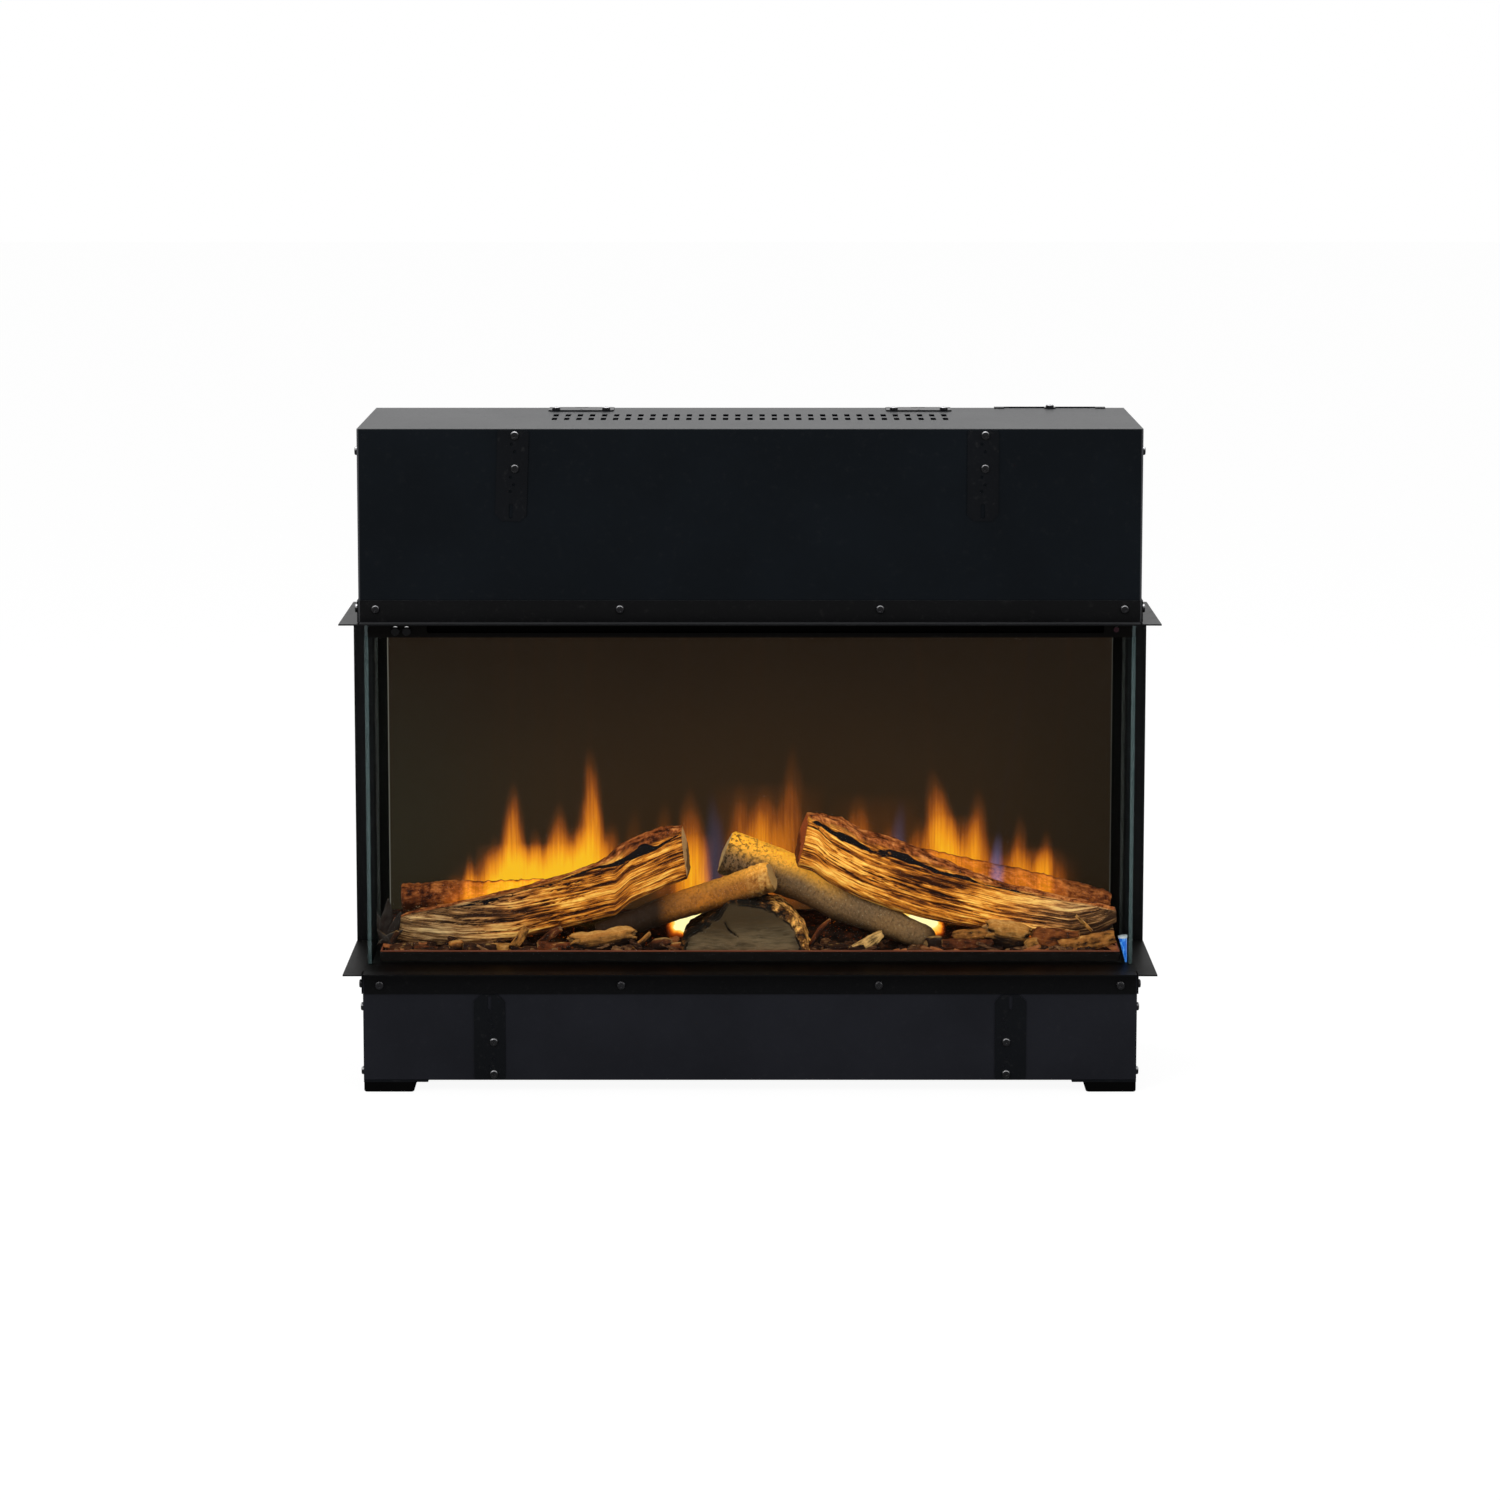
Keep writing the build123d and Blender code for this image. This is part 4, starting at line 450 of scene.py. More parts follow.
def smokedScreen():
    look = {"body": (0.003, 0.0024, 0.0018), "top": (0.014, 0.0078, 0.0042), "left": (0.0195, 0.0148, 0.0078),
            "middle": (0.029, 0.0145, 0.0055), "right": (0.015, 0.0085, 0.0036), "leftEndHighlight": (0.13, 0.122, 0.1),
            "rightEndHighlight": (0.045, 0.043, 0.036), "endAt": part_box("flame_screen")[1].x / mm}
    paint = Paint("smokedScreen")
    x, y, z = paint.axes()
    haze = paint.noise(5.0, detail=2.0)
    scuff = paint.noise(60.0, detail=4.0)
    # painted light: the screen's warm glow, strongest in the middle and lower down, dimmer at the sides and the top
    sides = paint.mix(x.rise(-0.1, 0.3), look["left"], look["right"])
    glow = paint.mix((x * x).rise(0.16, 0.0), sides, look["middle"])
    glow = paint.mix((z + 0.08 * haze).rise(0.28, 0.56), glow, look["top"])
    # painted highlight: a pale line glows along each end of the screen, from the left and right end colours
    ends = paint.mix(x.rise(-0.1, 0.1), look["leftEndHighlight"], look["rightEndHighlight"])
    glow = paint.mix(outside(x, look["endAt"], 1.3, 0.9), glow, ends)
    return paint.surface(
        colour=paint.vary(haze, look["body"], 0.7), roughness=0.34 + 0.14 * scuff, shine=0.03,
        glow=paint.glowSum(glow, flameColour(paint, *flameLight(paint))), normal=paint.bump(scuff, 0.01))


dress(smokedScreen(), "flame_screen")
print("stage: glass and flame screen dressed")

# Carving kit
hashing = {"axes": (73856093, 19349663, 83492791), "seed": 2654435761, "rounds": ((13, 1274126177), (16, 1103515245)),
           "keep": 0xFFFFFFFF}


def corner(lattice, seed):      # a repeatable number from 0 to 1 at each lattice corner
    mixed = seed * hashing["seed"]
    for step, factor in zip(lattice, hashing["axes"]):
        mixed = mixed ^ (step * factor)
    mixed = mixed & hashing["keep"]
    for shift, factor in hashing["rounds"]:
        mixed = ((mixed ^ (mixed >> shift)) * factor) & hashing["keep"]
    return ((mixed >> 8) & 0xFFFF) / 0xFFFF


def rough(points, scale, seed=0, octaves=3):        # fractal noise from 0 to 1 at an array of points
    total, weight = 0.0, 0.0
    for octave in range(octaves):
        spot = points * np.array(scale) * 2 ** octave + 17.3 * octave
        base = np.floor(spot).astype(np.int64)
        part = spot - base
        part = part * part * (3 - 2 * part)
        value = 0.0
        for corners in range(8):
            step = np.array([corners & 1, corners >> 1 & 1, corners >> 2 & 1])
            share = np.prod(np.where(step, part, 1 - part), axis=1)
            value = value + share * corner((base + step).T, seed + octave)
        total = total + value * 0.5 ** octave
        weight += 0.5 ** octave
    return total / weight


def steps(values, low, high):       # 0 at low, 1 at high, smooth between
    part = np.clip((values - low) / (high - low), 0, 1)
    return part * part * (3 - 2 * part)


def window(values, low, lowFull, highFull, high):
    return steps(values, low, lowFull) * (1 - steps(values, highFull, high))


def roundBar(name, around, rings, capRings):        # a bar of unit radius and length, ready to carve
    bpy.ops.object.select_all(action="DESELECT")
    bpy.ops.mesh.primitive_cylinder_add(vertices=around, radius=1, depth=1, end_fill_type="NGON")
    bar = bpy.context.object
    bar.name = name
    bpy.ops.object.mode_set(mode="EDIT")
    bpy.ops.mesh.select_mode(type="EDGE")
    shape = bmesh.from_edit_mesh(bar.data)
    for edge in shape.edges:
        edge.select_set(abs(edge.verts[0].co.z - edge.verts[1].co.z) > 0.5)
    bmesh.update_edit_mesh(bar.data)
    bpy.ops.mesh.subdivide(number_cuts=rings - 1)
    bpy.ops.mesh.select_mode(type="FACE")
    shape = bmesh.from_edit_mesh(bar.data)
    for face in shape.faces:
        face.select_set(abs(face.normal.z) > 0.9)
    bmesh.update_edit_mesh(bar.data)
    for ring in range(capRings):
        bpy.ops.mesh.inset(thickness=0.96 / (capRings + 1))
    bpy.ops.mesh.poke()
    bpy.ops.mesh.select_mode(type="VERT")
    bpy.ops.object.mode_set(mode="OBJECT")
    return bar


def readSpots(piece):
    spots = np.zeros(len(piece.data.vertices) * 3)
    piece.data.vertices.foreach_get("co", spots)
    return spots.reshape(-1, 3)


def writeSpots(piece, spots):
    piece.data.vertices.foreach_set("co", np.asarray(spots, np.float32).ravel())


def readBar(bar):       # angle, distance from the middle and place along, for each vertex
    x, y, z = readSpots(bar).T
    return np.arctan2(y, x) % (2 * math.pi), np.hypot(x, y), z + 0.5


def markSpots(piece, name, values):
    plain = np.ndim(values) == 1
    layer = piece.data.attributes.new(name, "FLOAT" if plain else "FLOAT_VECTOR", "POINT")
    layer.data.foreach_set("value" if plain else "vector", np.asarray(values, np.float32).ravel())


def pick(*pieces):      # selects these alone, the first one active
    bpy.ops.object.select_all(action="DESELECT")
    for piece in pieces:
        piece.select_set(True)
    bpy.context.view_layer.objects.active = pieces[0]


def joined(name, pieces):
    pick(*pieces)
    bpy.ops.object.join()
    bpy.context.object.name = name
    return bpy.context.object


def faceOutward():
    bpy.ops.mesh.select_all(action="SELECT")
    bpy.ops.mesh.normals_make_consistent(inside=False)
    bpy.ops.object.mode_set(mode="OBJECT")


def writeShape(piece, spots, **marks):      # spots in mm
    writeSpots(piece, spots * mm)
    for mark, values in marks.items():
        markSpots(piece, mark, values)
    piece.data.update()
    pick(piece)
    bpy.ops.object.mode_set(mode="EDIT")
    faceOutward()
    bpy.ops.object.shade_smooth()


def seat(piece, material, slot, *replaced):
    piece.data.materials.clear()
    piece.data.materials.append(material)
    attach(piece, "casing")
    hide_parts(*replaced)


def between(rows, where, column):       # a column of a table of stations, read between its rows
    table = np.array(rows, float)
    return np.interp(where, table[:, 0], table[:, column])


# Split logs
# rows: x, top of the split face, foot of the split face, crown of the bark (mm)
leftSplit = {
    "rows": [(-388, 171, 152, 172), (-370, 178, 147, 179), (-340, 184, 145, 185), (-312, 189, 144, 191),
             (-257, 202, 151, 204), (-218, 212, 160, 214), (-179, 227, 170, 228), (-157, 232, 176, 238),
             (-146, 234, 178, 250), (-130, 241, 192, 259), (-112, 248, 200, 267), (-91, 258, 209, 272),
             (-67, 268, 218, 274)],
    "face": -61, "back": -12, "endLean": 8, "cutTurn": -5, "seed": 3, "crack": (-200, -120), "crackLeast": 0.0,
    "charAt": [(-388, 0.3), (-300, 0.55), (-190, 0.5), (-172, 1.0), (-84, 1.0), (-66, 0.3)],
}
rightSplit = {
    "rows": [(52, 284, 231, 288), (68, 280, 226, 287), (85, 272, 214, 285), (100, 264, 206, 282),
             (121, 253, 196, 269), (155, 243, 184, 261), (183, 234, 176, 250), (200, 228, 172, 240),
             (225, 220, 167, 231), (265, 210, 160, 214), (307, 201, 155, 204), (348, 192, 152, 194),
             (376, 188, 158, 189), (398, 182, 170, 183)],
    "face": -61, "back": -14, "endLean": -14, "cutTurn": 7, "seed": 11, "crack": (260, 120), "crackLeast": 0.6,
    "charAt": [(52, 0.2), (64, 0.9), (105, 1.0), (135, 0.62), (185, 0.9), (215, 0.7), (290, 0.6), (340, 0.3),
               (398, 0.0)],
}
splitBar = {"around": 132, "rings": 230, "capRings": 7, "middleDepth": 139.5, "endRun": 40}


def carveSplit(name, log):
    bar = roundBar(name, splitBar["around"], splitBar["rings"], splitBar["capRings"])
    angle, middle, along = readBar(bar)
    turn = angle / (2 * math.pi)
    rows = np.array(log["rows"], float)
    first, last = rows[0, 0], rows[-1, 0]
    x = first + (last - first) * along
    top, foot, crown = (between(rows, x, column) for column in (1, 2, 3))
    face, back = log["face"], log["back"]
    tall, deep = top - foot, back - face
    midY, midZ = (face + back) / 2, (top + foot) / 2
    outline = [     # share of the turn, y, z
        (0.0, face + 5, foot), (0.23, face, midZ), (0.46, face + 5, top), (0.5, face + 9, top - 1.5),
        (0.56, face + 13, (top + 2 * crown) / 3), (0.7, face + 0.55 * deep, crown),
        (0.84, back, foot + 0.62 * tall), (0.93, back - 6, foot + 0.1 * tall), (1.0, face + 5, foot),
    ]
    y, z = np.zeros_like(x), np.zeros_like(x)
    for (start, startY, startZ), (end, endY, endZ) in zip(outline, outline[1:]):
        inside = (turn >= start) & ((turn < end) | (end == 1.0))
        part = np.clip((turn - start) / (end - start), 0, 1)
        y = np.where(inside, startY + (endY - startY) * part, y)
        z = np.where(inside, startZ + (endZ - startZ) * part, z)
    side = steps(middle, 0.985, 0.999)
    onFace = window(turn, 0.0, 0.02, 0.45, 0.475)
    onBark = window(turn, 0.53, 0.57, 0.86, 0.9)
    inCrack = window(turn, 0.44, 0.47, 0.55, 0.585)
    seed = log["seed"]
    across = turn / 0.46 * tall
    drift = 9 * rough(np.stack([x * 0.012, 0 * x, 0 * x], 1), 1, seed + 50) + 0.04 * x
    grain = np.stack([x, across + drift, middle * 30], 1)
    broad = rough(grain, (0.011, 0.11, 0.05), seed, 2)
    fibre = rough(grain, (0.03, 0.5, 0.1), seed + 5, 3)
    split = 1 - np.abs(2 * rough(grain, (0.014, 0.3, 0.05), seed + 9, 3) - 1)
    split = steps(split, 0.93, 0.99) * steps(rough(grain, (0.016, 0.05, 0.1), seed + 17, 2), 0.4, 0.6)
    steep = rough(grain, (0.02, 0.06, 0.05), seed + 13, 3)
    shreds = rough(grain, (0.06, 0.9, 0.1), seed + 19, 2)
    faceLift = (5.0 * (broad - 0.5) + 3.0 * (fibre - 0.5) + 2.0 * (shreds - 0.5) - 3.0 * split
                + 2.0 * (steep - 0.5))
    barkSpot = np.stack([x, turn * 260, middle * 30], 1)
    plates = rough(barkSpot, (0.07, 0.11, 0.1), seed + 21, 4)
    flakes = rough(barkSpot, (0.25, 0.4, 0.3), seed + 25, 2)
    barkLift = 5.2 * (plates - 0.5) + 2.0 * (flakes - 0.5)
    charX, charShare = np.array(log["charAt"], float).T
    ragged = turn + 0.06 * (rough(barkSpot, (0.06, 0.03, 0.1), seed + 35, 3) - 0.5)
    char = (window(ragged, 0.436, 0.446, 0.532, 0.546) * np.interp(x, charX, charShare)
            * (0.62 + 0.6 * rough(barkSpot, (0.04, 0.05, 0.1), seed + 31, 2)))
    crackOpen = log["crackLeast"] + (1 - log["crackLeast"]) * steps(x, *log["crack"])
    lift = onFace * faceLift + onBark * barkLift - inCrack * (3.0 + 3.5 * plates) * crackOpen
    lift = lift * (0.35 + 0.65 * steps(np.minimum(x - first, last - x), 0, 6))
    outY, outZ = y - midY, z - midZ
    length = np.hypot(outY, outZ) + 1e-6
    y = midY + (outY + outY / length * lift) * middle
    z = midZ + (outZ + outZ / length * lift * 0.8) * middle
    atRight = steps(x, last - splitBar["endRun"], last)
    bends = [(log["endLean"] * (z - midZ) / -60, log["endLean"] > 0),
             (log["cutTurn"] * (1 - (y - face) / deep), log["cutTurn"] < 0)]
    for bend, onRight in bends:
        x = x + bend * (atRight if onRight else steps(x, first + splitBar["endRun"], first))
    endCut = rough(np.stack([along * 3, y, z], 1), (1, 0.25, 0.35), seed + 41, 3) - 0.5
    x = x + (1 - side) * endCut * 3.2 + side * endCut * 1.2
    relief = np.where(onFace > 0.5, 0.5 + faceLift / 6.5, 0.5 + barkLift / 8)
    relief = np.where(side < 0.5, 0.5 + endCut, relief)
    # the belly mark covers the foot of the split face and the lower back, which the wood paints dark as painted shade
    writeShape(bar, np.stack([x, frontY / mm + splitBar["middleDepth"] + y, z], 1), grain=grain * mm, relief=relief,
               bark=np.clip(onBark + 0.75 * steps(turn, 0.9, 0.94), 0, 1) * side,
               char=np.clip(char + 0.5 * split * onFace, 0, 1) * side,
               belly=(1 - steps(turn, 0.0, 0.07)) * side + steps(turn, 0.8, 0.86), endGrain=1 - side)
    return bar


def splitWood(name, look):
    wood = {"hollow": (0.02, 0.005, 0.0012), "brown": (0.15, 0.036, 0.005), "gold": (0.62, 0.19, 0.016),
            "pale": (1.0, 0.58, 0.11), "ashHollow": (0.03, 0.013, 0.006), "ash": (0.19, 0.095, 0.036),
            "ashPale": (0.64, 0.42, 0.2), "barkDark": (0.03, 0.007, 0.002), "bark": (0.27, 0.062, 0.013),
            "barkPale": (0.62, 0.22, 0.055), "char": (0.005, 0.003, 0.003)}
    paint = Paint(name)
    grain = paint.painted("grain", "Vector")
    relief = paint.painted("relief")
    x, y, z = paint.axes()
    fine = paint.streaks((55, 1500, 60), grain, detail=4.0, roughness=0.65)
    streak = paint.streaks((15, 560, 24), grain, detail=3.0, roughness=0.62)
    blotch = paint.streaks((75, 240, 90), grain, detail=4.0, roughness=0.6)
    bands = paint.streaks((7, 95, 12), grain, detail=2.0)
    patch = paint.streaks((22, 60, 30), grain, detail=2.0)
    lit = x.rise(look["dimFrom"] * mm, look["litFrom"] * mm)
    # the amount runs from dark hollows to pale ridges: the grain streaks are the wood's own, the carved relief adds
    # painted shade in the hollows, and the lit term adds painted light towards the middle
    amount = relief * 0.7 + fine * 0.7 + streak * 0.8 + bands * 0.55 + blotch * 0.45 + lit * look["lit"] - 1.16
    amount = amount * 1.2 - 0.1
    face = paint.ramp(amount, [(0.26, wood["hollow"]), (0.42, wood["brown"]), (0.6, wood["gold"]),
                               (0.86, wood["pale"])])
    ash = paint.ramp(amount, [(0.24, wood["ashHollow"]), (0.46, wood["ash"]), (0.76, wood["ashPale"])])
    faded = x.rise(look["ashFrom"] * mm, look["ashTo"] * mm) * (0.45 + 0.7 * patch)
    face = paint.mix(faded, face, ash)
    crust = paint.streaks((110, 190, 150), grain, detail=5.0, roughness=0.72)
    rind = paint.ramp(relief * 0.75 + crust * 1.5 - 0.66,
                      [(0.3, wood["barkDark"]), (0.5, wood["bark"]), (0.72, wood["barkPale"])])
    tone = paint.mix(paint.painted("bark"), face, rind)
    cut = paint.vary(fine, look["cut"], 0.55)
    tone = paint.mix(paint.painted("endGrain"), tone, cut)
    charred = (paint.painted("char") + crust * 0.6 + streak * 0.25).rise(0.86, 0.98)
    tone = paint.mix(charred * paint.painted("char").rise(0.03, 0.12), tone, wood["char"])
    # painted shade: the belly mark darkens the lower faces towards the hollow colour
    tone = paint.mix(paint.painted("belly") * 0.75, tone, wood["hollow"])
    return paint.surface(
        colour=tone, roughness=0.86 - 0.25 * fine, shine=0.1,
        glow=paint.mix(look["glow"] * (0.5 + lit), black, tone),
        normal=paint.bump(fine * 0.6 + streak * 0.8 + crust * paint.painted("bark"), 1.1))


splitLooks = {
    "leftSplitWood": {"dimFrom": -390, "litFrom": -130, "lit": 0.1, "ashFrom": -205, "ashTo": -335,
                      "glow": 0.24, "cut": (0.55, 0.3, 0.12)},
    "rightSplitWood": {"dimFrom": 700, "litFrom": 190, "lit": 0.09, "ashFrom": 250, "ashTo": 400,
                       "glow": 0.3, "cut": (0.3, 0.06, 0.015)},
}
seat(carveSplit("leftSplitLog", leftSplit), splitWood("leftSplitWood", splitLooks["leftSplitWood"]),
     "split_log", "left_split_log")
seat(carveSplit("rightSplitLog", rightSplit), splitWood("rightSplitWood", splitLooks["rightSplitWood"]),
     "split_log", "right_split_log")
print("stage: split logs carved")


# Round logs and branches
# rows: share along, x, depth behind the casing front, z, radius (mm)
roundLogs = {
    "leftBirchLog": {
        "rows": [(0, -165, 94, 154, 12), (0.35, -98, 86, 181, 15.5), (0.7, -30, 77, 205, 16.5), (1, 25, 76, 223, 16)],
        "node": "left_birch_log", "slot": "birch_log", "rings": 170, "around": 84, "seed": 61, "crustFrom": 0.84,
        "wave": 1.6, "cut": (0, -3), "round": 0.0},
    "rightBirchLog": {
        "rows": [(0, -30, 136, 240, 25), (0.4, 60, 117, 210, 23.5), (0.57, 100, 108, 188, 21.5),
                 (0.76, 144, 99, 171, 17.5), (0.87, 169, 93, 159.5, 15), (1, 199, 87, 149, 14)],
        "node": "right_birch_log", "slot": "birch_log", "rings": 200, "around": 96, "seed": 71, "crustFrom": 2,
        "wave": 2.2, "cut": (7, 0), "round": 0.5},
    "leftBackLog": {
        "rows": [(0, -384, 172, 182, 15), (0.5, -290, 174, 185, 15.5), (1, -197, 176, 188, 14)],
        "node": "left_back_log", "slot": "back_log", "rings": 130, "around": 64, "seed": 81, "crustFrom": 2,
        "wave": 4.5, "cut": (0, 0), "round": 0.3},
    "rightBackLog": {
        "rows": [(0, 160, 172, 228, 14), (0.5, 280, 170, 204, 14), (1, 397, 168, 178, 11.5)],
        "node": "right_back_log", "slot": "back_log", "rings": 150, "around": 64, "seed": 91, "crustFrom": 2,
        "wave": 4.0, "cut": (0, 0), "round": 0.3},
}


def carveRound(name, log):
    bar = roundBar(name, log["around"], log["rings"], 6)
    angle, middle, along = readBar(bar)
    x, depth, z, radius = (between(log["rows"], along, column) for column in (1, 2, 3, 4))
    run = Vector(log["rows"][-1][1:4]) - Vector(log["rows"][0][1:4])
    length = run.length
    run.normalize()
    sideways = Vector((0, 0, 1)).cross(run).normalized()
    upward = run.cross(sideways)
    seed, wave = log["seed"], log["wave"]
    spot = np.stack([along * length, np.cos(angle) * radius, np.sin(angle) * radius], 1)
    swell = rough(spot, 0.02, seed, 2) - 0.5
    crusty = steps(along, log["crustFrom"], log["crustFrom"] + 0.06)
    pores = rough(spot * np.array((1.0, 0.35, 0.35)), 0.22, seed + 4, 3) - 0.5
    crumbs = rough(spot, 0.33, seed + 8, 3) - 0.5
    side = steps(middle, 0.985, 0.999)
    lift = 4.5 * swell + wave * pores + crusty * 5.5 * crumbs
    cut = rough(spot * middle[:, None], (0.0, 0.3, 0.3), seed + 12, 3) - 0.5
    rim = 1 - 0.08 * (1 - np.minimum(steps(along, 0, 0.012), steps(along, 1, 0.988))) * side
    worn = np.clip((along - 0.93) / 0.07, 0, 1)
    rim = rim * (1 - log["round"] * (1 - np.sqrt(np.clip(1 - worn ** 2, 0.05, 1))))
    reach = (radius + lift) * middle * rim
    front = (1 - np.cos(angle)) / 2 * middle
    startCut, endCut = log["cut"]
    slide = (1 - side) * cut * 3 + side * cut * 1.5
    slide = slide + front * (startCut * steps(along, 0.15, 0) + endCut * steps(along, 0.85, 1))
    centre = np.stack([x, frontY / mm + depth, z], 1)
    spots = (centre + np.outer(np.cos(angle) * reach, sideways) + np.outer(np.sin(angle) * reach, upward)
             + np.outer(slide, run))
    spots[:, 2] = np.maximum(spots[:, 2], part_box(log["node"])[0].z / mm)
    relief = np.where(side > 0.5, 0.5 + lift / (2.4 * wave + 4 * crusty), 0.5 + cut)
    writeShape(bar, spots, grain=np.stack([along * length, angle * radius, middle * 20], 1) * mm,
               relief=relief, crust=crusty * side, endGrain=1 - side, high=np.sin(angle) * side)
    return bar


def birchBark(name, look):
    paint = Paint(name)
    grain = paint.painted("grain", "Vector")
    relief = paint.painted("relief")
    x, y, z = paint.axes()
    fine = paint.streaks((330, 260, 300), grain, detail=5.0, roughness=0.68)
    dashes = paint.streaks((420, 90, 60), grain, detail=2.0).rise(0.58, 0.68)
    cloud = paint.streaks((30, 34, 30), grain, detail=4.0)
    speck = paint.cells(1.0, paint.stretched((230, 230, 230), grain)).rise(0.24, 0.12)
    skin = paint.mix(cloud.rise(0.38, 0.62), look["skin"], look["blush"])
    skin = paint.mix(fine.rise(0.22, 0.6), shade(look["skin"], 0.42), skin)
    skin = paint.mix(dashes * 0.6, skin, look["dash"])
    skin = paint.mix(speck * look["specks"], skin, look["lichen"])
    tufts = paint.noise(210.0, detail=4.0, roughness=0.7)
    mossy = tufts.rise(0.5, 0.57) * x.rise(look["mossTo"] * mm, look["mossFrom"] * mm)
    skin = paint.mix(mossy * 0.85, skin, look["moss"])
    crumbs = paint.ramp(relief * 0.7 + fine * 0.55 - 0.08,
                        [(0.3, look["moss"]), (0.5, look["skin"]), (0.72, look["lichen"])])
    tone = paint.mix(paint.painted("crust"), skin, crumbs)
    high = paint.painted("high")
    # painted light: the top of the log turns gold where light falls on it, only over part of its length and less on
    # moss
    warmLight = (high + 0.25 * cloud).rise(look["warmLightLow"], 1.05)
    warmLight = warmLight * x.rise(look["warmLightTo"] * mm, look["warmLightFrom"] * mm) * (1.0 - mossy * 0.75)
    tone = paint.mix(warmLight * look["warmLightShare"], tone, paint.vary(fine.rise(0.25, 0.6), look["gold"], 0.5))
    # painted shade: the underside darkens to the under colour
    tone = paint.mix(high.rise(-0.1, -0.95) * 0.85, tone, look["under"])
    tone = paint.mix(paint.painted("endGrain"), tone, paint.vary(fine, look["cut"], 0.6))
    # painted shadow: the log darkens towards one end, where it lies in shadow
    dark = x.rise(look["shadowFrom"] * mm, look["shadowTo"] * mm)
    tone = paint.mix(dark * 0.975, tone, look["under"])
    # painted light: the bark glows a little everywhere, and more where the top light falls
    return paint.surface(
        colour=tone, roughness=0.8 - 0.2 * fine, shine=0.12, glow=paint.mix(0.08 + warmLight * 0.62, black, tone),
        normal=paint.bump(fine + dashes * 0.4, 0.6))


def backBark(name, flames):
    look = {"dark": (0.022, 0.005, 0.0015), "red": (0.17, 0.04, 0.009), "rust": (0.46, 0.14, 0.03)}
    paint = Paint(name)
    grain = paint.painted("grain", "Vector")
    crust = paint.streaks((90, 170, 150), grain, detail=5.0, roughness=0.74)
    tone = paint.ramp(paint.painted("relief") * 0.8 + crust * 1.6 - 0.72,
                      [(0.28, look["dark"]), (0.5, look["red"]), (0.75, look["rust"])])
    # painted shade: the underside darkens
    tone = paint.mix(paint.painted("high").rise(0.2, -0.7) * 0.8, tone, look["dark"])
    x, y, z = paint.axes()
    # painted light: small glowing specks low down at the left end
    spark = paint.cells(300.0).rise(0.2, 0.08) * z.rise(0.176, 0.172) * x.rise(-0.325, -0.34)
    fire, blue = flameLight(paint)
    seen = paint.facing(1).rise(0.15, -0.5)
    fire, blue = fire * seen, blue * seen
    # painted light: the bark glows at a fifth of its colour, besides the flame light
    glow = paint.mix(spark, paint.mix(0.2, black, tone), (1.0, 0.72, 0.4))
    return paint.surface(
        colour=tone, roughness=0.85 - 0.1 * crust, shine=0.1,
        glow=paint.glowSum(glow, flameColour(paint, fire * flames, blue)), normal=paint.bump(crust, 1.2))


birchLooks = {
    "leftBirchBark": {
        "skin": (0.36, 0.12, 0.019), "blush": (0.55, 0.168, 0.016), "dash": (0.16, 0.05, 0.012),
        "lichen": (0.7, 0.35, 0.09), "moss": (0.05, 0.02, 0.008), "mossFrom": -500, "mossTo": -400,
        "gold": (1.0, 0.42, 0.05), "warmLightShare": 0.6, "warmLightLow": 0.3, "warmLightFrom": 30, "warmLightTo": -90, "specks": 0.08,
        "cut": (0.6, 0.34, 0.12), "under": (0.012, 0.006, 0.003), "shadowFrom": -70, "shadowTo": -104},
    "rightBirchBark": {
        "skin": (0.19, 0.105, 0.048), "blush": (0.25, 0.13, 0.05), "dash": (0.09, 0.045, 0.018),
        "lichen": (0.55, 0.42, 0.24), "moss": (0.018, 0.012, 0.006), "mossFrom": -30, "mossTo": 75,
        "gold": (1.0, 0.42, 0.03), "warmLightShare": 1.0, "warmLightLow": 0.1, "warmLightFrom": 55, "warmLightTo": 120, "specks": 0.25,
        "cut": (0.7, 0.45, 0.2), "under": (0.02, 0.01, 0.005), "shadowFrom": 180, "shadowTo": 205},
}
bark = {
    "leftBirchLog": birchBark("leftBirchBark", birchLooks["leftBirchBark"]),
    "rightBirchLog": birchBark("rightBirchBark", birchLooks["rightBirchBark"]),
    "leftBackLog": backBark("leftBackBark", 0.85),
    "rightBackLog": backBark("rightBackBark", 0.7),
}
for name, log in roundLogs.items():
    seat(carveRound(name, log), bark[name], log["slot"], log["node"])
print("stage: round logs carved")

# Half-round log in front
halfRound = {"x": -8.5, "z": 130.5, "radius": 70.5, "face": 62.5, "back": 131.5, "seed": 101, "foot": 142.0}


